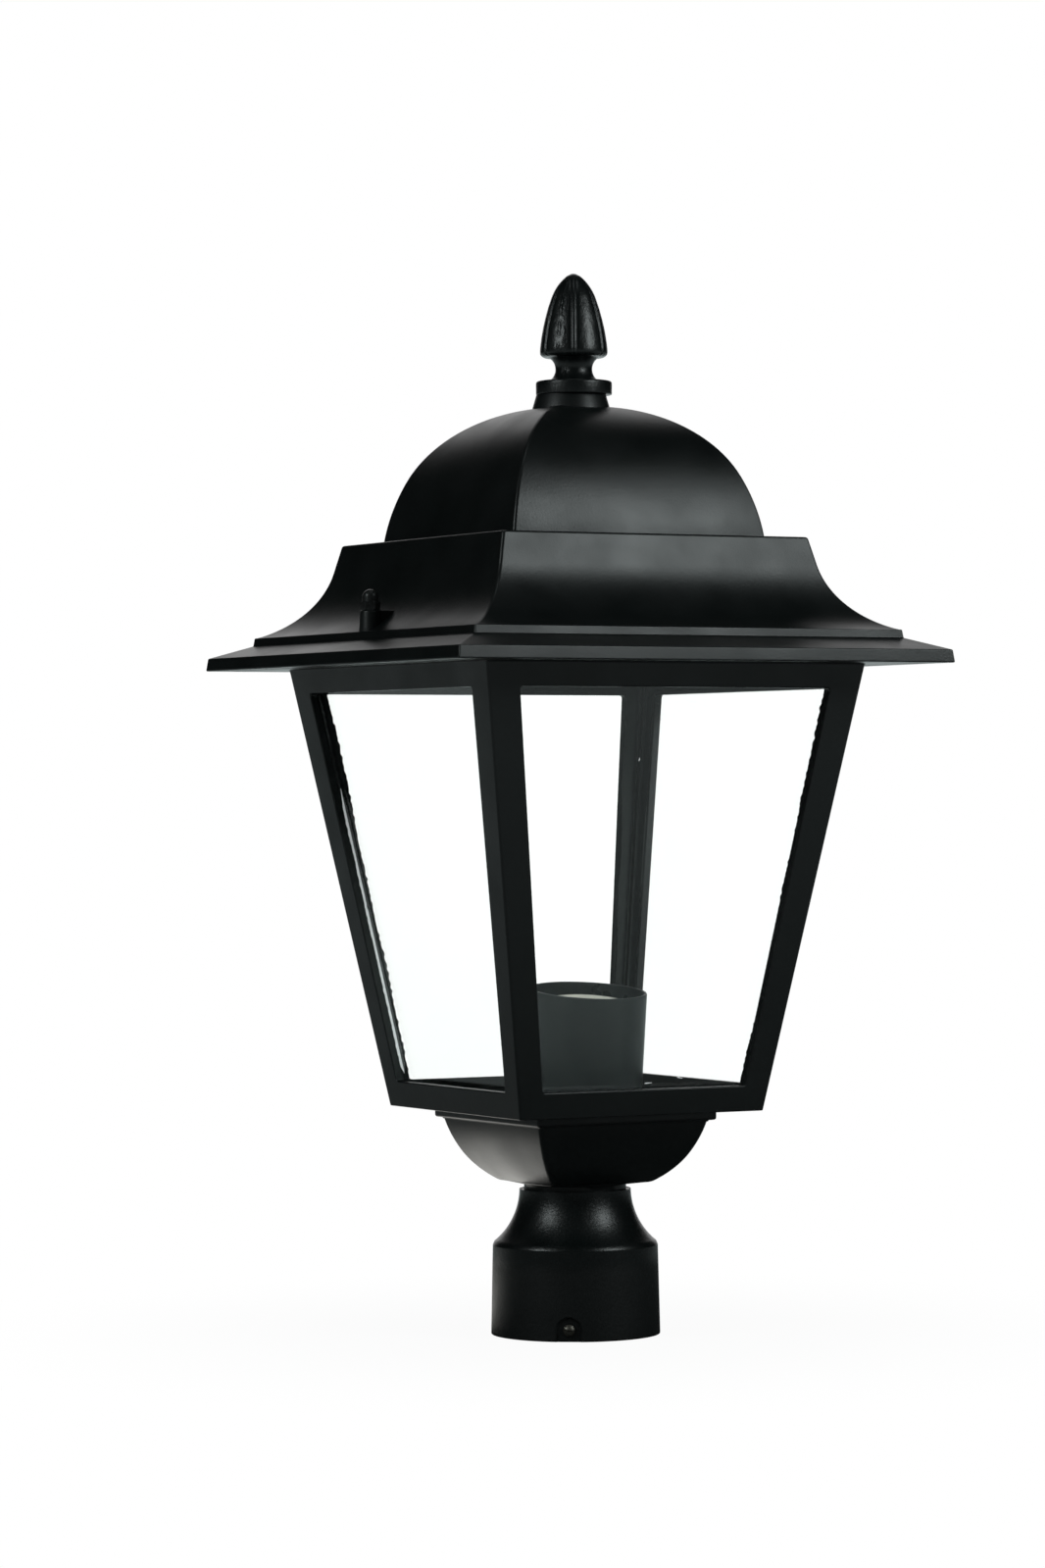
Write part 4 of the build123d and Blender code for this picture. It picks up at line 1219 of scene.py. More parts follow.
@dataclass
class Cage(Assembly):
    """The tapered cage: a lofted shell whose four walls are framed round their windows.

    Attributes:
        hip: Rounding of the outer hips.
        inner_hip: Rounding of the inner corners.
        flange: Half width and thickness of the flange that carries the roof.
        opening: Radius of the round hole in the floor.
        window_corner: Rounding of the window corners.
        edge: Rounding of the window edges.
    """

    hip: float = 1.1
    inner_hip: float = 4.0
    flange: Pair = (128.0, 5.0)
    opening: float = 20.0
    window_corner: float = 1.6
    edge: float = 0.6

    def window(self, depth: float, side: int) -> list[Point]:
        """Outline of a window on a wall plane.

        Args:
            depth: Distance of the plane behind the outer face, measured level.
            side: Which of the four sides, counted from +X towards +Y.

        Returns:
            Its points, from the lower corner on, round the window.
        """
        line = Outline([(u, z, self.window_corner) for u, z in WINDOW])
        turn = Matrix.Rotation(math.pi / 2 * side, 3, "Z")
        return [tuple(turn @ Vector((cage_half(z) - depth, u, z))) for u, z in line.points()]

    def section(self) -> Path:
        """The walls' section.

        Returns:
            Its points, from the bottom's outside up over the flange and down inside.
        """
        foot, inner = cage_half(CAGE_Z), CAGE_TOP - CAGE_WALL
        out, rim_z = self.flange[0], CAGE_TOP_Z + self.flange[1]
        line = Outline(steps=3).to(foot - 1.0, CAGE_Z).to(foot, CAGE_Z, 0.8)
        line.to(CAGE_TOP, CAGE_TOP_Z).to(out, CAGE_TOP_Z, 0.3).to(out, rim_z, 0.3)
        line.to(inner, rim_z, 0.5).to(inner - 0.08, CAGE_TOP_Z - 0.5)
        line.to(cage_half(FLOOR_Z) - CAGE_WALL, FLOOR_Z)
        return line.points(closed=False)

    def build(self) -> None:
        """Makes the cage."""
        path = self.section()
        rings = [square_ring(half, z, self.hip if half > cage_half(z) - 2 else self.inner_hip) for half, z in path]
        rings += [square_ring(self.opening, z, self.opening) for z in (FLOOR_Z, CAGE_Z)]
        wall_out = next(i for i, (_, z) in enumerate(path) if z > CAGE_Z + 5) - 1
        wall_in = len(path) - 2
        span = CORNER_STEPS + 1

        def is_wall(row: int, step: int) -> bool:
            """Whether this face is the flat of a windowed wall."""
            return row in (wall_out, wall_in) and step % span == CORNER_STEPS

        shell = Shell().loft(rings, closed=True, skip=is_wall)
        total = 4 * span
        for side in range(4):
            start = (side * span + CORNER_STEPS - span) % total
            rims = []
            for row, depth in ((wall_out, 0.0), (wall_in, CAGE_WALL)):
                low, high = sorted((row, row + 1), key=lambda r: rings[r][0][2])
                right = (start + 1) % total
                corners = (low * total + start, low * total + right, high * total + right, high * total + start)
                rim = shell.add_points(self.window(depth, side))
                rims.append(rim)
                self.frame_wall(shell, corners, rim)
            for step in range(len(rims[0])):
                after = (step + 1) % len(rims[0])
                shell.add_face((rims[0][step], rims[0][after], rims[1][after], rims[1][step]))
        piece = shell.build("cage_casting", crease=50)
        soften(piece, self.edge)
        self.seat(piece, "black_casting", [Finish.CASTING], ["cage"])
        self.dress(Finish.GREEN, "earth_screw")

    def frame_wall(self, shell: Shell, corners: tuple[int, int, int, int], rim: list[int]) -> None:
        """Frames a window with four faces.

        Args:
            shell: The cage's shell.
            corners: The wall's lower left, lower right, upper right and upper left points.
            rim: The window's points, in the same order round.
        """
        quarter = len(rim) // 4
        half = quarter // 2
        groups = [rim[k * quarter : (k + 1) * quarter] for k in range(4)]
        for k in range(4):
            after = (k + 1) % 4
            inner = groups[k][half:] + groups[after][: half + 1]
            shell.add_face([corners[k], corners[after]] + list(reversed(inner)))


@dataclass
class Glazing(Assembly):
    """Four flat panes behind the cage's walls, and the silicone that holds them.

    Attributes:
        thickness: Thickness of the glass.
        bed: Thickness of the silicone.
        foot: Gap between a pane's foot and the floor.
        top: Height of the panes' tops.
        gap: Gap that two panes leave at a corner.
        bead_step: Distance between a bead's cross-sections.
        lap: How far a bead reaches behind the frame.
        creep: Least and most that it shows past the frame's edge.
        wetted: How far a bead reaches into the glass, so that no air shows between them.
        hair: How far strip and specks keep off the jamb, and how far they reach into the glass.
        strip: Heights of the ends of the strip in the left window.
        strip_width: Its width, and how much that swells slowly and quickly along it.
        speck_half: Half width of a speck.
        speck_rise: Shares of a speck's size, and how far it stands out there.
        specks: Specks of silicone: place along the wall, height, side, length and turn.
    """

    thickness: float = 3.0
    bed: float = 1.0
    foot: float = 0.3
    top: float = 333.0
    gap: float = 0.75
    bead_step: float = 0.8
    lap: float = 6.0
    creep: Pair = (-0.7, 0.8)
    wetted: float = 0.05
    hair: float = 0.02
    strip: Pair = (130.5, 276.5)
    strip_width: Point = (1.35, 0.4, 0.35)
    speck_half: float = 0.28
    speck_rise: tuple[Pair, ...] = ((1.0, 0.0), (0.8, 0.18), (0.35, 0.3))
    specks: tuple[tuple[float, float, int, float, float], ...] = (
        (4.4, 129.3, 3, 4.6, 3.0),
        (22.4, 131.4, 3, 3.6, -12.0),
        (-5.3, 309.5, 3, 1.2, 80.0),
        (-15.5, 290.0, 3, 1.8, 85.0),
    )

    def wall_depth(self) -> float:
        """Thickness of the cage's wall, square to its slope."""
        return CAGE_WALL * math.cos(CAGE_SLANT)

    def pane_depth(self) -> float:
        """Depth of a pane's outer face behind the cage's, square to them."""
        return self.wall_depth() + self.bed

    def face_point(self, u: float, z: float, depth: float, side: int) -> Point:
        """A point on a wall's slope.

        Args:
            u: Distance along the wall from its middle.
            z: Height on the wall's outer face.
            depth: Distance behind the outer face, square to it.
            side: Which side, counted from +X towards +Y.

        Returns:
            The point.
        """
        out = cage_half(z) - depth * math.cos(CAGE_SLANT)
        rise = depth * math.sin(CAGE_SLANT)
        return tuple(Matrix.Rotation(math.pi / 2 * side, 3, "Z") @ Vector((out, u, z + rise)))

    def pane(self, side: int) -> Shell:
        """One pane, its seamed edges marked for their own finish.

        Args:
            side: Which side, counted from +X towards +Y.

        Returns:
            Its mesh.
        """
        front = self.pane_depth()
        back = front + self.thickness
        low, high = FLOOR_Z + self.foot, self.top - self.thickness * math.sin(CAGE_SLANT)
        halves = [cage_half(z) - back / math.cos(CAGE_SLANT) - self.gap for z in (low, high)]
        outline = [(-halves[0], low), (halves[0], low), (halves[1], high), (-halves[1], high)]
        shell = Shell()
        faces = []
        for depth in (front, back):
            faces.append(shell.add_points([self.face_point(u, z, depth, side) for u, z in outline]))
        shell.add_face(faces[0])
        shell.add_face(list(reversed(faces[1])))
        for step in range(4):
            after = (step + 1) % 4
            shell.add_face((faces[0][step], faces[0][after], faces[1][after], faces[1][step]), mark=1)
        return shell

    def bead(self, side: int, rng: random.Random) -> Shell:
        """The silicone round one window, whose ragged edge shows past the jambs in places.

        Args:
            side: Which side, counted from +X towards +Y.
            rng: Source of the bead's own seed.

        Returns:
            Its mesh.
        """
        wall, glass = self.wall_depth(), self.pane_depth()
        hidden, most = self.creep
        rings = []
        seed = rng.uniform(0, 100)
        for k in range(4):
            start, end = Vector(WINDOW[k]), Vector(WINDOW[(k + 1) % 4])
            along = (end - start).normalized()
            outward = Vector((along.y, -along.x))
            count = int((end - start).length / self.bead_step)
            for step in range(count):
                here = start.lerp(end, step / count)
                patch = noise.noise((here.x * 0.03 + seed, here.y * 0.03, k * 7.0))
                ragged = noise.noise((here.x * 0.45 + seed, here.y * 0.45, 3.0))
                # Only the jambs, sides 1 and 3, show any
                creep = max(hidden, min(most, 1.6 * patch + 0.9 * ragged - 0.35)) if k % 2 else hidden
                lift = 0.25 + 0.35 * abs(noise.noise((here.x * 0.3, here.y * 0.3, seed)))
                inside = here - outward * creep
                outside = here + outward * self.lap
                section = (
                    (outside.x, outside.y, wall),
                    (here.x + outward.x * 0.8, here.y + outward.y * 0.8, wall),
                    (inside.x + outward.x * 0.3, inside.y + outward.y * 0.3, glass - lift),
                    (inside.x, inside.y, glass + self.wetted),
                    (outside.x, outside.y, glass + self.wetted),
                )
                rings.append([self.face_point(u, z, depth, side) for u, z, depth in section])
        return Shell().loft(rings, closed=True)

    def squeezed_strip(self) -> Shell:
        """White silicone squeezed into the far corner of the left window.

        Returns:
            Its mesh.
        """
        low, high = self.strip
        middle, slow, quick = self.strip_width
        glass = self.pane_depth()
        steps = 240
        rings = []
        for step in range(steps + 1):
            z = low + (high - low) * step / steps
            jamb = SILL + (HEAD - SILL) * (z - SILL_Z) / (HEAD_Z - SILL_Z)
            edge = self.hair - jamb
            thin = min(1.0, (z - (low - 0.5)) / 4.0, (high + 0.5 - z) / 12.0)
            swell = slow * noise.noise((z * 0.06, 1.0, 2.0)) + quick * noise.noise((z * 0.35, 4.0, 9.0))
            width = thin * (middle + swell)
            hang = 0.12 + 0.25 * max(0.0, noise.noise((z * 0.8, 7.0, 5.0)))
            section = (
                (edge, glass - self.hair),
                (edge + hang, glass - self.hair),
                (edge + hang * 0.8, glass - width * 0.6),
                (edge, glass - width),
            )
            rings.append([self.face_point(u, z, depth, 2) for u, depth in section])
        return Shell().loft(rings, caps=True)

    def speck(self, u: float, z: float, side: int, length: float, angle: float) -> Shell:
        """A small smear of white silicone on a pane's outer face.

        Args:
            u: Place along the wall from its middle.
            z: Height on the wall.
            side: Which side, counted from +X towards +Y.
            length: Its length.
            angle: Its turn, in degrees.

        Returns:
            Its mesh.
        """
        depth = self.pane_depth() - self.hair
        cos_turn, sin_turn = math.cos(math.radians(angle)), math.sin(math.radians(angle))
        steps = 12
        rings = []
        for share, height in self.speck_rise:
            ring = []
            for step in range(steps):
                spin = math.tau * step / steps
                du = length / 2 * share * math.cos(spin)
                dv = self.speck_half * share * (1 + 0.3 * math.cos(3 * spin)) * math.sin(spin)
                along, up = du * cos_turn - dv * sin_turn, du * sin_turn + dv * cos_turn
                ring.append(self.face_point(u + along, z + up, depth - height, side))
            rings.append(ring)
        return Shell().loft(rings, caps=True)

    def build(self) -> None:
        """Makes the panes and their silicone."""
        rng = random.Random(11)
        for side, name in enumerate(("right", "back", "left", "front")):
            pane = self.pane(side).build(f"pane_{name}", crease=20)
            self.seat(pane, "clear_glass", [Finish.GLASS, Finish.GLASS_EDGE], [f"glass_{name}"])
            bead = self.bead(side, rng).build(f"silicone_{name}", crease=60)
            self.seat(bead, "sealant", [Finish.SILICONE], ["glazing_beads"])
        strip = self.squeezed_strip().build("silicone_strip_left", crease=70)
        self.seat(strip, "sealant", [Finish.SQUEEZED])
        for number, place in enumerate(self.specks, start=1):
            speck = self.speck(*place).build(f"silicone_speck_{number}", crease=70)
            self.seat(speck, "sealant", [Finish.SQUEEZED])


@dataclass
class Lampholder(Assembly):
    """The cup, porcelain and brass shell on their leaning stem.

    Attributes:
        foot: Centre of the cup's foot.
        lean: Lean towards the front, in degrees.
        cup: Radius, height and wall of the cup.
        cup_hole: Radius of the hole in its foot.
        porcelain: Corners of the porcelain body's outline.
        shell_z: Heights of the brass shell's ends.
        shell_wall: Wall thickness of the shell.
        thread: Bore radius, depth and pitch of its thread.
        fade: Height over which the thread runs out at both ends.
    """

    foot: Point = (3.0, -2.0, 123.1)
    lean: float = 6.6
    cup: Point = (30.0, 52.0, 1.5)
    cup_hole: float = 5.0
    porcelain: Corners = (
        (15.5, 1.5, 0.8),
        (15.5, 22.0, 0.5),
        (18.7, 22.0, 0.8),
        (18.7, 47.3, 1.6),
        (13.9, 47.3, 1.2),
        (13.9, 22.0, 0.0),
        (12.5, 22.0, 0.4),
        (12.5, 17.0, 0.6),
        (1.95, 17.0, 0.0),
        (1.95, 9.5, 0.0),
        (5.0, 9.5, 0.0),
        (5.0, 1.5, 0.0),
    )
    shell_z: Pair = (22.0, 40.0)
    shell_wall: float = 0.24
    thread: Point = (13.3, 0.3, 3.63)
    fade: float = 1.5

    def place(self) -> Matrix:
        """Matrix from the lampholder's own axis to the lantern, in millimetres."""
        return Matrix.Translation(self.foot) @ Matrix.Rotation(math.radians(self.lean), 4, "X")

    def drawn_cup(self) -> Shell:
        """The drawn cup.

        Returns:
            Its mesh, on the lampholder's own axis.
        """
        radius, height, wall = self.cup
        line = Outline(steps=5).to(radius, 0, 3.0).to(radius, height - 3.0).to(radius, height, 0.7)
        line.to(radius - wall, height, 0.7).to(radius - wall, wall, 2.0)
        line.to(self.cup_hole, wall).to(self.cup_hole, 0)
        return Shell().turned(line.points())

    def threaded_shell(self) -> Shell:
        """The brass shell with its rolled thread.

        Returns:
            Its mesh, on the lampholder's own axis.
        """
        bore, depth, pitch = self.thread
        low, high = self.shell_z
        levels, steps = 60, 72
        inside, outside = [], []
        for level in range(levels + 1):
            z = low + (high - low) * level / levels
            fade = min(1.0, (z - low) / self.fade, (high - z) / self.fade)
            rings = ([], [])
            for step in range(steps):
                turn = math.tau * step / steps
                wave = depth * (0.5 + 0.5 * math.sin(math.tau * z / pitch - turn)) * fade
                for ring, extra in zip(rings, (0.0, self.shell_wall)):
                    ring.append(spot(bore + wave + extra, turn, z))
            inside.append(rings[0])
            outside.append(rings[1])
        return Shell().loft(inside + outside[::-1], closed=True)

    def build(self) -> None:
        """Makes the cup, porcelain and shell, and dresses the rest."""
        cup = self.drawn_cup().moved(self.place()).build("cup_drawn")
        self.seat(cup, "black_steel", [Finish.ENAMEL], ["lampholder_cup"])
        line = Outline([*self.porcelain])
        porcelain = Shell().turned(line.points()).moved(self.place()).build("porcelain_body")
        self.seat(porcelain, "porcelain", [Finish.PORCELAIN], ["lampholder_body"])
        shell = self.threaded_shell().moved(self.place()).build("threaded_shell", crease=60)
        self.seat(shell, "brass", [Finish.BRASS], ["screw_shell"])
        self.dress(Finish.ZINC, "lampholder_strap", "strap_screws", "lampholder_stem", "stem_nut")
        self.dress(Finish.BRASS, "terminal_screws", "centre_contact")


@dataclass
class Roof(Assembly):
    """Skirt, dome, collar and ties of the roof.

    Attributes:
        body: The body that it rides on.
        hip: Rounding of the hips.
        brim: Corners of the brim and lip, from the rim up to the cove.
        lip: Half width beyond which the brim's corners are twice as crisp.
        cove: Centre and radius of the cove's arc.
        cove_turns: Turns where it starts, where it ends, and where it starts inside.
        cove_wall: Wall thickness of the cove.
        seat_line: Corners of the seat that carries the dome, from the cove inwards.
        hollow: Corners of the brim's underside.
        tie: Radius of a tie boss, half width of its web, and how far the web reaches.
        tie_levels: Heights of the tie boss's rings, and how much larger it is there.
        tie_foot: Corners of the foot under a tie boss.
        dome: Centre and radius of the dome's upper arc.
        dome_low: Radius of its lower arc.
        dome_join: Turn where the dome's arcs meet, in degrees.
        dome_wall: Wall thickness of the dome.
        dome_turn: How far the dome stands turned on the skirt.
        stud_hole: Radius of the hole for the finial's stud.
        collar: Corners of the collar's outline.
        boss: Corners of a screw boss's outline.
        boss_at: Distance of the bosses from both middle lines.
    """

    body: str = "roof"
    hip: float = 1.5
    brim: Corners = (
        (140.0, CAGE_TOP_Z, 0.7),
        (139.15, 345.0, 0.9),
        (121.6, 351.15, 0.8),
        (121.0, 355.3, 1.0),
    )
    lip: float = 120.0
    cove: Point = (135.9, 399.2, 46.6)
    cove_turns: Point = (250.2, 194.4, 247.0)
    cove_wall: float = 4.5
    seat_line: Corners = ((87.2, DOME_Z, 1.6), (50.0, DOME_Z, 0.6), (50.0, 397.9, 0.6), (82.7, 397.9, 2.0))
    hollow: Corners = ((116.3, 343.5, 0.8), (130.0, 343.5, 0.5), (130.0, CAGE_TOP_Z, 0.5))
    tie: Point = (5.2, 3.2, 14.5)
    tie_levels: tuple[Pair, ...] = (
        (349.5, 0.74),
        (357.0, 0.4),
        (365.1, 0.03),
        (365.5, -0.07),
        (365.7, -0.27),
        (365.8, -0.55),
    )
    tie_foot: Corners = ((2.9, 343.5, 0.0), (5.7, 343.5, 0.4), (5.7, 357.0, 0.0), (2.9, 357.0, 0.0))
    dome: Point = (6.7, 409.26, 61.5)
    dome_low: float = 115.4
    dome_join: float = 23.4
    dome_wall: float = 4.0
    dome_turn: float = -0.6
    stud_hole: float = 4.5
    collar: Corners = (
        (4.5, 465.5, 0.0),
        (20.0, 465.5, 0.0),
        (20.0, 469.0, 0.8),
        (17.75, COLLAR_Z, 0.35),
        (4.5, COLLAR_Z, 0.0),
    )
    boss: Corners = ((2.5, DOME_Z, 0.0), (6.5, DOME_Z, 0.4), (6.5, 415.4, 1.0), (2.5, 415.4, 0.0))
    boss_at: float = 62.0

    def skirt(self) -> Shell:
        """Brim, lip and cove with their hollow, and the two tie bosses.

        Returns:
            The skirt's mesh.
        """
        x, z, radius = self.cove
        first, last, inner_last = self.cove_turns
        line = Outline([*self.brim]).arc((x, z), radius, first, last, 22).along(self.seat_line)
        line.arc((x, z), radius + self.cove_wall, last, inner_last, 12).along(self.hollow)
        crisp = self.hip * 0.5
        rings = [square_ring(half, level, crisp if half > self.lip else self.hip) for half, level in line.points()]
        shell = Shell().loft(rings, closed=True)
        for side in (-1, 1):
            shell.loft(self.tie_rings(side), caps=True)
            foot = Shell().turned(Outline([*self.tie_foot], steps=2).points(), steps=32)
            shell.join(foot.moved(Matrix.Translation((side * TIE_X, 0, 0))))
        return shell

    def tie_rings(self, side: int) -> list[Ring]:
        """The boss and web that a tie passes through.

        Args:
            side: -1 for the left, 1 for the right.

        Returns:
            Their rings, from the bottom up.
        """
        boss, half_web, reach = self.tie
        steps = 36
        rings = []
        for z, grow in self.tie_levels:
            radius, web = boss + grow, half_web + grow / 4
            start = math.asin(web / radius)
            ring = [(reach, web, z)]
            ring += [spot(radius, start + (math.tau - 2 * start) * step / steps, z) for step in range(steps + 1)]
            ring.append((reach, -web, z))
            rings.append([(side * (TIE_X - px), py, pz) for px, py, pz in ring])
        return rings

    def dome_shell(self) -> Shell:
        """The dome with its collar and screw bosses.

        Returns:
            Its mesh, turned as it stands on the skirt.
        """
        x, z, radius = self.dome
        low = next_centre((x, z), radius - self.dome_low, self.dome_join)
        inner = radius - self.dome_wall
        foot = DOME_Z - low[1]
        turns = [math.degrees(math.asin(foot / (self.dome_low - wall))) for wall in (0.0, self.dome_wall)]
        line = Outline(steps=3)
        line.arc(low, self.dome_low, turns[0], self.dome_join, 14)
        line.arc((x, z), radius, self.dome_join + 3, 88.0, 26)
        line.to(self.stud_hole, z + radius).to(self.stud_hole, z + radius - self.dome_wall)
        line.arc((x, z), inner, 86.0, self.dome_join, 14)
        line.arc(low, self.dome_low - self.dome_wall, self.dome_join - 2, turns[1], 8)
        rings = [square_ring(half, level, min(self.hip, half)) for half, level in line.points()]
        shell = Shell().loft(rings, closed=True)
        shell.turned(Outline([*self.collar], steps=3).points())
        shell.bosses(Outline([*self.boss], steps=2), self.boss_at)
        return shell.moved(Matrix.Rotation(math.radians(self.dome_turn), 4, "Z"))

    def build(self) -> None:
        """Makes the roof's castings and dresses their screws."""
        skirt = self.skirt().build("roof_skirt_casting", crease=45)
        soften(skirt, 0)
        self.seat(skirt, "black_casting", [Finish.CASTING], ["roof_skirt"])
        dome = self.dome_shell().build("roof_dome_casting", crease=45)
        self.seat(dome, "black_casting", [Finish.CASTING], ["roof_dome"])
        self.dress(Finish.ZINC, "roof_screws", "finial_stud", "finial_washer", "finial_nut")


@dataclass
class Finial(Assembly):
    """The acorn: a sand casting with six thin ribs and a ragged parting line.

    Attributes:
        body: The body that it rides on.
        place: How far the finial stands off the lantern's axis.
        disc: Corners of the disc under the acorn.
        cove: Centre and radius of the cove above the disc.
        cove_turns: Turn where the cove starts, and how far it runs, in degrees.
        lip: Rings of the acorn's lip: radius, height and how ribbed it is.
        flank: Centre and radius of the acorn's flank.
        nose: Centre and radius of its nose.
        acorn: Height where the flank starts, and from there to the tip.
        nose_z: Height where the nose takes over.
        rib_end: Heights between which the ribs run out.
        tip: Rings of the tip: radius, height and how ribbed it is.
        ribs: Number of ribs.
        first_rib: Turn of the first, in degrees.
        rib_half: Half width of a rib.
        rib_side: Width of a rib's sloping side.
        proud: How far the ribs stand out of the lobes.
        groove: Distance of the groove beside a rib, its width and its depth.
        parting: Turn of the mould's parting line, in degrees.
        flash: Width, height and raggedness of the flash on it.
        torn: Turn and half width of the torn patch, in degrees.
        sand: Height of the sand's texture, and how much more the torn patch has.
        widest: Radius that nothing stands out of.
        around: Points round the finial.
    """

    body: str = "roof"
    place: Pair = (1.27, -0.7)
    disc: Corners = (
        (3.0, COLLAR_Z, 0.0),
        (19.3, COLLAR_Z, 0.6),
        (19.4, COLLAR_Z + 7, 1.5),
        (12.9, COLLAR_Z + 7, 0.0),
    )
    cove: Point = (16.3, 489.9, 6.95)
    cove_turns: Pair = (241.4, 122.8)
    lip: Corners = (
        (15.2, 495.9, 0.0),
        (16.1, 496.4, 0.4),
        (16.7, 496.9, 0.8),
        (17.05, 497.5, 1.0),
        (17.2, 498.2, 1.0),
    )
    flank: Point = (-91.4, 489.2, 109.1)
    nose: Point = (-13.2, 517.3, 26.0)
    acorn: Pair = (498.6, 39.6)
    nose_z: float = 526.5
    rib_end: Pair = (530.0, 538.0)
    tip: Corners = ((1.3, 538.35, 0.0), (0.7, 538.5, 0.0), (0.05, 538.58, 0.0))
    ribs: int = 6
    first_rib: float = 241.2
    rib_half: float = 0.5
    rib_side: float = 0.7
    proud: float = 0.45
    groove: Point = (0.9, 0.5, 0.25)
    parting: float = 213.6
    flash: Point = (0.55, 0.12, 0.5)
    torn: Pair = (227.0, 14.0)
    sand: Pair = (0.07, 0.16)
    widest: float = 19.4
    around: int = 288

    def outline(self) -> Ring:
        """The finial's half outline.

        Returns:
            Radius, height and how ribbed it is, from the disc's foot up.
        """
        disc = Outline([*self.disc]).points(closed=False)
        line: Ring = [(half, z, 0.0) for half, z in disc]
        x, cove_z, radius = self.cove
        first, run = self.cove_turns
        for step in range(1, 15):
            half, rise, _ = spot(radius, math.radians(first - run * step / 14), 0.0)
            line.append((x + half, cove_z + rise, 0.0))
        line += self.lip
        foot, height = self.acorn
        fade_from, fade_to = self.rib_end
        for step in range(1, 40):
            z = foot + height * step / 40
            centre, middle, bend = self.flank if z <= self.nose_z else self.nose
            half = centre + math.sqrt(bend**2 - (z - middle) ** 2)
            line.append((half, z, 1.0 if z < fade_from else max(0.0, (fade_to - z) / (fade_to - fade_from))))
        line += self.tip
        return line

    def radius(self, half: float, z: float, ribbed: float, turn: float) -> float:
        """Radius of the casting at a place, with ribs, flash and texture.

        Args:
            half: Radius of the outline there.
            z: Its height.
            ribbed: How ribbed it is, from 0 to 1.
            turn: Turn of the place, in degrees.

        Returns:
            The radius.
        """
        pitch = 360 // self.ribs
        off = (turn - self.first_rib + pitch // 2) % pitch - pitch // 2
        across = abs(math.radians(off)) * half
        lobe = min(1.0, max(0.0, (across - self.rib_half) / self.rib_side))
        away, width, depth = self.groove
        groove = math.exp(-(((across - self.rib_half - away) / width) ** 2))
        radius = half + ribbed * (self.proud * (1 - lobe) - depth * groove)
        width, height, rough = self.flash
        seam = (turn - self.parting + 90) % 180 - 90
        ragged = noise.noise((z * 0.45, turn * 0.05, 3.0)) + 0.6 * noise.noise((z * 1.3, 8.0, 1.0))
        ridge = math.exp(-(((math.radians(seam + 2.0 * ragged) * max(half, 1.0)) / width) ** 2))
        radius += (height + rough * ragged) * ridge if half > 4 else 0.0
        place = Vector(spot(half, math.radians(turn), z))
        torn = ribbed * max(0.0, 1 - abs((turn - self.torn[0] + 180) % 360 - 180) / self.torn[1])
        radius += self.sand[0] * noise.noise(place * 0.35) + self.sand[1] * torn * noise.noise(place * 0.9)
        return min(radius, self.widest)

    def build(self) -> None:
        """Makes the finial."""
        rings = []
        for half, z, ribbed in self.outline():
            turns = [360 * step / self.around for step in range(self.around)]
            rings.append([spot(self.radius(half, z, ribbed, turn), math.radians(turn), z) for turn in turns])
        shell = Shell().loft(rings, caps=True)
        piece = shell.moved(Matrix.Translation((*self.place, 0))).build("finial_casting", crease=60)
        self.seat(piece, "black_casting", [Finish.ROUGH_CASTING], ["finial"])


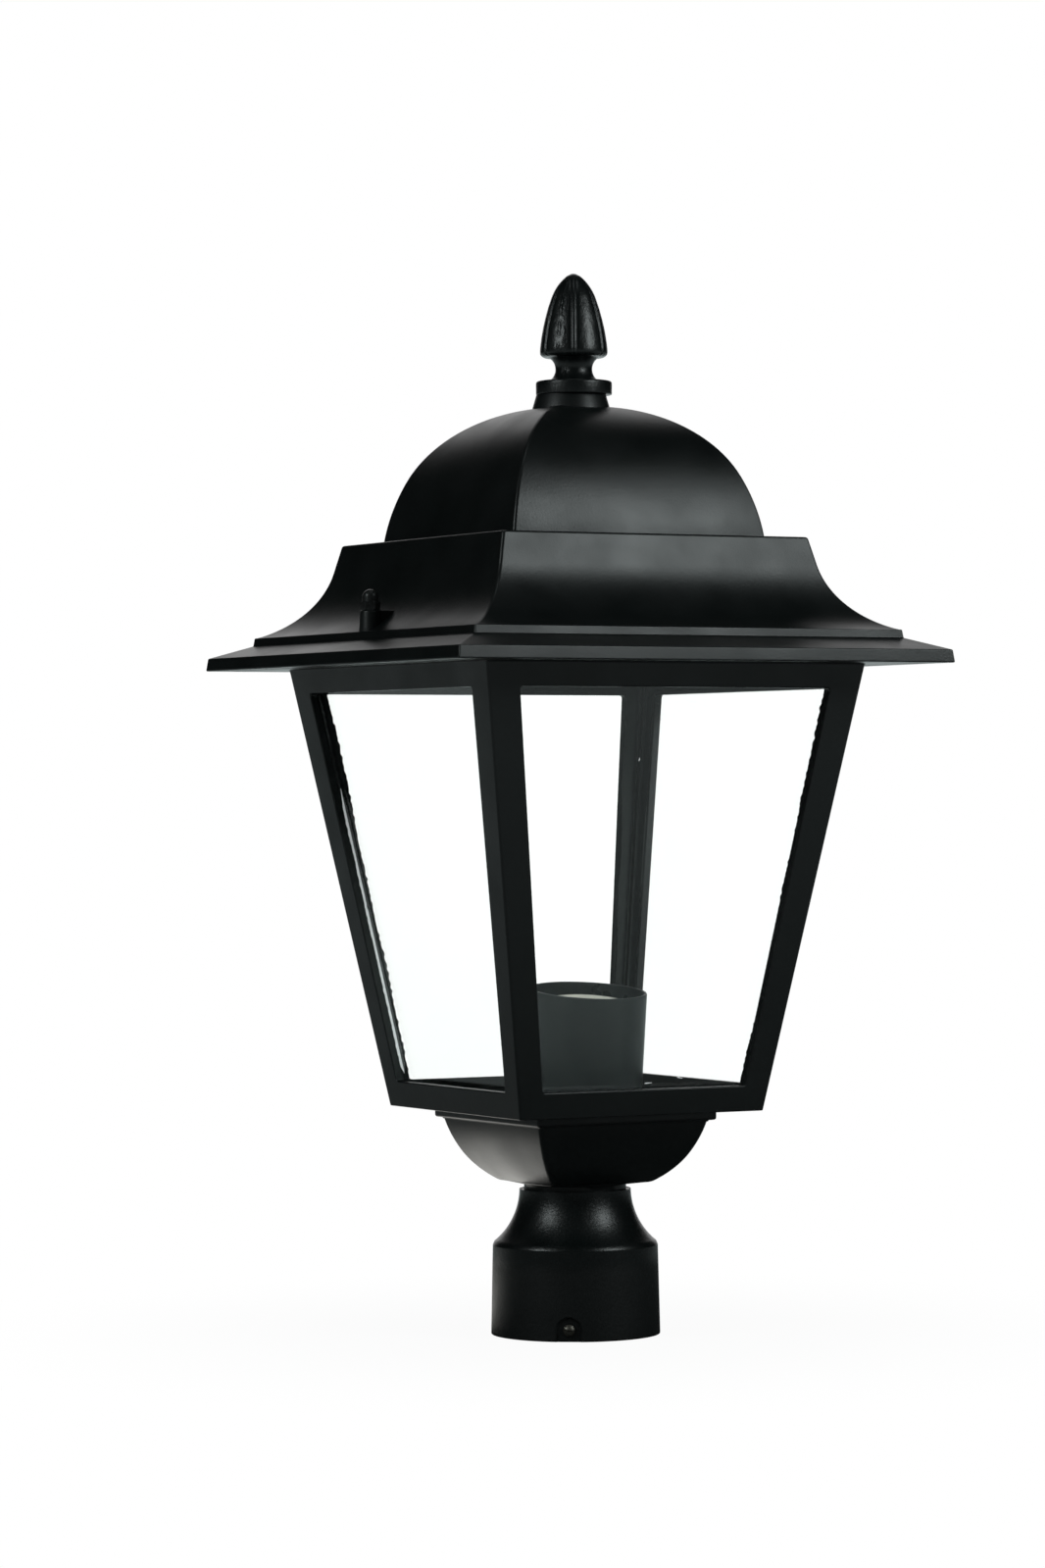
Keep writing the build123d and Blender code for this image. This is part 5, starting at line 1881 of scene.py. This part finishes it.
@dataclass
class Ties(Assembly):
    """The two roof ties: a threaded stud and a domed cap nut on each side.

    Attributes:
        foot: Height of the boss that the nut stands on.
        flats: Width of the nut across its flats.
        hex_height: Height of its hexagon.
        height: Height of the nut.
        dome_r: Radius of its dome.
        bore: Radius and depth of its bore.
        stud_r: Radius of a stud.
        stud_length: Length of a stud above the cage's walls.
        pitch: Distance from thread to thread.
        depth: Depth of the thread.
        thread_z: Height where the thread starts.
        chamfer: Height where the stud's bevelled end starts, and its slope.
    """

    foot: float = 365.8
    flats: float = 8.4
    hex_height: float = 4.6
    height: float = 10.7
    dome_r: float = 4.05
    bore: Pair = (2.55, 8.0)
    stud_r: float = 2.5
    stud_length: float = 34.5
    pitch: float = 0.8
    depth: float = 0.3
    thread_z: float = 345.0
    chamfer: Pair = (372.4, 0.8)

    def nut(self, turn: float) -> Shell:
        """A cap nut with its foot at height 0.

        Args:
            turn: Turn of its hexagon, in degrees.

        Returns:
            Its mesh.
        """
        corner = self.flats / math.sqrt(3)
        line = Outline(steps=6)
        line.to(self.flats / 2 + 0.05, 0).to(corner, 0.45).to(corner, self.hex_height - 0.6)
        line.to(self.flats / 2 - 0.15, self.hex_height + 0.1, 0.2)
        line.arc((0.0, self.height - self.dome_r), self.dome_r, 0.0, 89.0, 10)
        rings = []
        for half, z in line.points(closed=False):
            ring = []
            for step in range(ROUND_STEPS):
                angle = 360 * step / ROUND_STEPS
                flat = math.radians((angle - turn + 30) % 60 - 30)
                ring.append(spot(min(half, self.flats / 2 / math.cos(flat)), math.radians(angle), z))
            rings.append(ring)
        radius, depth = self.bore
        bore = [round_ring(0.05, depth), round_ring(radius, depth), round_ring(radius, 0)]
        return Shell().loft(bore + rings)

    def stud(self) -> Shell:
        """A stud with a rolled M5 thread above the cage's flange.

        Returns:
            Its mesh, standing on the lantern's axis.
        """
        start, slope = self.chamfer
        levels, steps = int(self.stud_length / self.pitch * 6), 24
        rings = []
        for level in range(levels + 1):
            z = CAGE_TOP_Z + self.stud_length * level / levels
            depth = self.depth if z > self.thread_z else 0.0
            ring = []
            for step in range(steps):
                turn = math.tau * step / steps
                wave = 0.5 + 0.5 * math.cos(math.tau * z / self.pitch - turn)
                ring.append(spot(self.stud_r - depth * wave - max(0.0, z - start) * slope, turn, z))
            rings.append(ring)
        return Shell().loft(rings, caps=True)

    def build(self) -> None:
        """Makes nuts and studs on both sides."""
        for side, name, turn in ((-1, "left", 3.0), (1, "right", 41.0)):
            up = Matrix.Translation((side * TIE_X, 0, self.foot))
            nut = self.nut(turn).moved(up).build(f"cap_nut_{name}_turned", crease=28)
            self.seat(nut, "black_nut", [Finish.BLACK_NUT], [f"cap_nut_{name}"], f"{name}_nut")
            across = Matrix.Translation((side * TIE_X, 0, 0))
            stud = self.stud().moved(across).build(f"tie_stud_{name}_thread", crease=60)
            self.seat(stud, "zinc_steel", [Finish.ZINC], [f"tie_stud_{name}"])


# ---------------------------------------------------------------- studio


@dataclass(frozen=True)
class Softbox:
    """One studio lamp, which hangs round the lantern's middle.

    Attributes:
        name: Its name.
        azimuth: Its direction from +Y towards +X, in degrees.
        elevation: Its height angle, in degrees.
        distance: Its distance in metres.
        size: Width and height in metres.
        radiance: Its brightness, where 1 is white.
        colour: Its tube's colour.
        aim: The place it lights, in metres.
    """

    name: str
    azimuth: float
    elevation: float
    distance: float
    size: Pair
    radiance: float
    colour: str = "#f5ffff"
    aim: Point = (0.0, 0.0, 0.3)

    def build(self) -> None:
        """Hangs the lamp."""
        data = bpy.data.lights.new(self.name, "AREA")
        data.shape = "RECTANGLE"
        data.size, data.size_y = self.size
        data.energy = self.radiance * math.pi * self.size[0] * self.size[1]
        data.color = linear(self.colour)[:3]
        lamp = bpy.data.objects.new(self.name, data)
        turn, rise = math.radians(self.azimuth), math.radians(self.elevation)
        way = Vector((math.sin(turn) * math.cos(rise), math.cos(turn) * math.cos(rise), math.sin(rise)))
        lamp.location = Vector(self.aim) + way * self.distance
        lamp.rotation_euler = way.to_track_quat("Z", "Y").to_euler()
        lamp.visible_camera = False
        lamp.visible_transmission = False
        bpy.context.scene.collection.objects.link(lamp)


@dataclass
class Studio:
    """White set, lamps and the camera.

    Attributes:
        eye: The camera's place in metres.
        yaw: Its heading from +Y towards +X, in degrees.
        pitch: Its upward tilt.
        roll: Its roll.
        lens: Its focal length in millimetres.
        sensor: Width of its frame in millimetres.
        backdrop: Heading of the lit backdrop, in degrees.
        reach: Angles to its sides at which the backdrop is still white, and gone.
        rise: Height angles at which it is still white, and gone.
        through_glass: How bright white is behind glass, to make up for what panes reflect.
        room: Brightness of the room in front of the set, as mirrored.
        room_light: The same as light on dull surfaces.
        room_colour: The room's colour.
        paper: Colour of the floor's paper.
        shade: Distances at which the floor under the lantern is dimmest, and white.
        dimmest: How much of its white it has there.
        inside_post: Distances between which the floor turns dark inside the fitter.
        floor_z: Height of the floor in millimetres, just under the lantern.
        floor_rings: Radii of the floor's rings in millimetres, out to the horizon.
        pool: Middle of the painted pool of light: a patch of floor that glows in place of lamp light, in metres.
        painted_pool_reach: Distances from it at which the painted pool is brightest, and gone.
        painted_pool_glow: How bright the painted pool glows in the lantern's reflections.
        painted_glow_tones: Colour of the floor's painted glow in reflections, away from the pool, and in it.
        behind: Distances at which the painted glow of the floor in front of the backdrop starts, and is full.
        margin: Distances between which the painted glow of the rest of the floor gets brighter.
        painted_margin_glow: Its brightness at these.
        lamps: The lamps.
    """

    eye: Point = (-1.2398, -2.2047, 0.2776)
    yaw: float = 28.769
    pitch: float = 0.037
    roll: float = -0.286
    lens: float = 114.22
    sensor: float = 36.0
    backdrop: float = 28.8
    reach: Pair = (13.0, 25.0)
    rise: Pair = (39.0, 53.0)
    through_glass: float = 1.34
    room: float = 0.012
    room_light: float = 0.5
    room_colour: str = "#f2f5f6"
    paper: str = "#f4f4f4"
    shade: Pair = (0.08, 0.35)
    dimmest: float = 0.94
    inside_post: Pair = (0.037, 0.041)
    floor_z: float = -0.05
    floor_rings: tuple[float, ...] = (1.0, 250.0, 900.0, 6000.0)
    pool: Point = (-0.04, 0.19, 0.0)
    painted_pool_reach: Pair = (0.06, 0.155)
    painted_pool_glow: float = 1.9
    painted_glow_tones: tuple[str, str] = ("#eefcfc", "#fffef8")
    behind: Pair = (0.3, 0.8)
    margin: Pair = (0.15, 1.2)
    painted_margin_glow: Pair = (0.03, 0.32)
    lamps: tuple[Softbox, ...] = (
        Softbox("softbox_right", 149.0, 27.2, 1.6, (0.55, 0.63), 6.4),
        Softbox("softbox_left", 264.0, 26.0, 1.6, (0.45, 0.5), 7.5),
        Softbox("softbox_top", 200.0, 78.0, 1.9, (0.8, 0.5), 1.0),
    )

    def camera(self) -> None:
        """Sets up the camera."""
        yaw, pitch, roll = (math.radians(v) for v in (self.yaw, self.pitch, self.roll))
        ahead = Vector((math.sin(yaw) * math.cos(pitch), math.cos(yaw) * math.cos(pitch), math.sin(pitch)))
        level = Vector((math.cos(yaw), -math.sin(yaw), 0))
        upright = level.cross(ahead)
        right = level * math.cos(roll) + upright * math.sin(roll)
        top = upright * math.cos(roll) - level * math.sin(roll)
        data = bpy.data.cameras.new("photo_camera")
        data.lens = self.lens
        data.sensor_width = self.sensor
        data.sensor_fit = "AUTO"
        data.clip_start, data.clip_end = 0.05, 60.0
        camera = bpy.data.objects.new("photo_camera", data)
        matrix = Matrix((right, top, -ahead)).transposed().to_4x4()
        matrix.translation = self.eye
        camera.matrix_world = matrix
        bpy.context.scene.collection.objects.link(camera)
        bpy.context.scene.camera = camera

    def heading(self) -> Point:
        """Level direction to the backdrop's middle."""
        turn = math.radians(self.backdrop)
        return (math.sin(turn), math.cos(turn), 0.0)

    def seen(self, tree: Tree) -> tuple[Socket, Socket, Socket]:
        """What looks at the set.

        Args:
            tree: The node tree that asks.

        Returns:
            Whether a ray comes from the camera or through glass without being mirrored on
            its way, how bright white then is, and whether the ray was mirrored.
        """
        path = add_node(tree, "LightPath")
        either = add_node(
            tree,
            "Math",
            {0: path.outputs["Is Camera Ray"], 1: path.outputs["Is Transmission Ray"]},
            operation="MAXIMUM",
        )
        mirrored = add_node(tree, "Math", {0: path.outputs["Glossy Depth"], 1: 0.5}, operation="GREATER_THAN")
        seen = add_node(
            tree,
            "Math",
            {0: either.outputs["Value"], 1: mirrored.outputs["Value"]},
            operation="SUBTRACT",
            use_clamp=True,
        )
        white = add_node(
            tree,
            "MapRange",
            {"Value": path.outputs["Is Transmission Ray"], "To Min": 1.0, "To Max": self.through_glass},
        )
        return seen.outputs["Value"], white.outputs["Result"], mirrored.outputs["Value"]

    def sweep(self, tree: Tree, way: Socket) -> Socket:
        """How much of the lit backdrop lies in a direction, by its heading alone.

        Args:
            tree: The node tree that asks.
            way: The direction, of any length.

        Returns:
            1 in front of the backdrop, 0 away from it.
        """
        level = add_node(tree, "VectorMath", {0: way, 1: (1.0, 1.0, 0.0)}, operation="MULTIPLY")
        unit = add_node(tree, "VectorMath", {0: level.outputs["Vector"]}, operation="NORMALIZE")
        off = add_node(tree, "VectorMath", {0: unit.outputs["Vector"], 1: self.heading()}, operation="DOT_PRODUCT")
        lit, gone = (math.cos(math.radians(angle)) for angle in self.reach)
        share = add_node(
            tree,
            "MapRange",
            {"Value": off.outputs["Value"], "From Min": gone, "From Max": lit},
            interpolation_type="SMOOTHSTEP",
        )
        return share.outputs["Result"]

    def floor(self) -> None:
        """Lays the white floor, which keeps the lantern's shadow and fades to pure white.

        In reflections it glows with painted light: a painted pool behind the lantern and a
        band along the backdrop, and dim elsewhere, as under studio lamps that light the backdrop.
        """
        shell = Shell().loft([round_ring(radius, self.floor_z) for radius in self.floor_rings])
        shell.add_face(list(range(ROUND_STEPS)))
        piece = shell.build("studio_floor")
        material, tree, where = blank_material("white_paper_sweep")
        far = add_node(tree, "VectorMath", {0: where}, operation="LENGTH").outputs["Value"]
        fade = add_node(
            tree,
            "MapRange",
            {"Value": far, "From Min": self.shade[0], "From Max": self.shade[1], "To Min": self.dimmest},
            interpolation_type="SMOOTHSTEP",
        )
        under = add_node(
            tree,
            "MapRange",
            {"Value": far, "From Min": self.inside_post[0], "From Max": self.inside_post[1]},
        )
        open_floor = add_node(
            tree, "Math", {0: fade.outputs["Result"], 1: under.outputs["Result"]}, operation="MULTIPLY"
        )
        seen, white, mirrored = self.seen(tree)
        # Painted pool of light: emission on the floor, seen only in the lantern's reflections
        off = add_node(tree, "VectorMath", {0: where, 1: self.pool}, operation="DISTANCE")
        pool = add_node(
            tree,
            "MapRange",
            {
                "Value": off.outputs["Value"],
                "From Min": self.painted_pool_reach[0],
                "From Max": self.painted_pool_reach[1],
                "To Min": self.painted_pool_glow,
                "To Max": 0.0,
            },
            interpolation_type="SMOOTHSTEP",
        )
        # Painted glow along the backdrop and over the rest of the floor, seen only in reflections
        behind = add_node(
            tree,
            "MapRange",
            {"Value": far, "From Min": self.behind[0], "From Max": self.behind[1]},
            interpolation_type="SMOOTHSTEP",
        )
        paper_sweep = add_node(
            tree, "Math", {0: behind.outputs["Result"], 1: self.sweep(tree, where)}, operation="MULTIPLY"
        )
        margin = add_node(
            tree,
            "MapRange",
            {
                "Value": far,
                "From Min": self.margin[0],
                "From Max": self.margin[1],
                "To Min": self.painted_margin_glow[0],
                "To Max": self.painted_margin_glow[1],
            },
        )
        bright = add_node(
            tree, "Math", {0: pool.outputs["Result"], 1: paper_sweep.outputs["Value"]}, operation="MAXIMUM"
        )
        lit = add_node(
            tree, "Math", {0: bright.outputs["Value"], 1: margin.outputs["Result"]}, operation="MAXIMUM"
        )
        paper = add_node(tree, "BsdfDiffuse", {"Color": linear(self.paper)})
        direct = add_node(tree, "Emission", {"Color": WHITE, "Strength": white})
        # Painted glow: the floor's emission in reflections, cool away from the painted pool and warm in it
        cool, warm = (linear(tone) for tone in self.painted_glow_tones)
        tone = add_node(tree, "Mix", {0: pool.outputs["Result"], 6: cool, 7: warm}, data_type="RGBA")
        glow = add_node(tree, "Emission", {"Color": tone.outputs[2], "Strength": lit.outputs["Value"]})
        around = add_node(tree, "MixShader", {0: mirrored, 1: paper.outputs["BSDF"], 2: glow.outputs["Emission"]})
        plain = add_node(
            tree,
            "MixShader",
            {0: open_floor.outputs["Value"], 1: paper.outputs["BSDF"], 2: direct.outputs["Emission"]},
        )
        mixed = add_node(tree, "MixShader", {0: seen, 1: around.outputs["Shader"], 2: plain.outputs["Shader"]})
        add_node(tree, "OutputMaterial", {"Surface": mixed.outputs["Shader"]})
        piece.data.materials.append(material)

    def world(self) -> None:
        """Surrounds the set: white where it is seen or mirrored, and a dim room elsewhere."""
        world = bpy.data.worlds.new("studio_world")
        bpy.context.scene.world = world
        world.use_nodes = True
        tree = world.node_tree
        tree.nodes.clear()
        seen, white, mirrored = self.seen(tree)
        way = add_node(tree, "TexCoord").outputs["Generated"]
        height = add_node(tree, "SeparateXYZ", {0: way})
        lit, gone = (math.sin(math.radians(angle)) for angle in self.rise)
        low = add_node(
            tree,
            "MapRange",
            {"Value": height.outputs["Z"], "From Min": gone, "From Max": lit},
            interpolation_type="SMOOTHSTEP",
        )
        cap = add_node(tree, "Math", {0: self.sweep(tree, way), 1: low.outputs["Result"]}, operation="MULTIPLY")
        path = add_node(tree, "LightPath")
        room = add_node(
            tree,
            "MapRange",
            {"Value": path.outputs["Is Diffuse Ray"], "To Min": self.room, "To Max": self.room_light},
        )
        mirror = add_node(tree, "Math", {0: cap.outputs["Value"], 1: mirrored}, operation="MULTIPLY")
        dim = add_node(tree, "Background", {"Color": linear(self.room_colour), "Strength": room.outputs["Result"]})
        backdrop = add_node(tree, "Background", {"Color": WHITE, "Strength": 1.0})
        direct = add_node(tree, "Background", {"Color": WHITE, "Strength": white})
        around = add_node(
            tree,
            "MixShader",
            {0: mirror.outputs["Value"], 1: dim.outputs["Background"], 2: backdrop.outputs["Background"]},
        )
        mixed = add_node(
            tree, "MixShader", {0: seen, 1: around.outputs["Shader"], 2: direct.outputs["Background"]}
        )
        add_node(tree, "OutputWorld", {"Surface": mixed.outputs["Shader"]})

    def build(self) -> None:
        """Sets up camera, floor, lamps and world."""
        self.camera()
        self.floor()
        self.world()
        for lamp in self.lamps:
            lamp.build()
        bpy.context.scene.view_settings.view_transform = "Standard"


def main() -> None:
    """Builds the studio and every sub-assembly in order."""
    logging.basicConfig(level=logging.INFO, format="%(message)s")
    Studio().build()
    for assembly in (Fitter(), SetScrews(), Bowl(), Cage(), Glazing(), Lampholder(), Roof(), Finial(), Ties()):
        assembly.build()


if __name__ == "__main__":
    main()
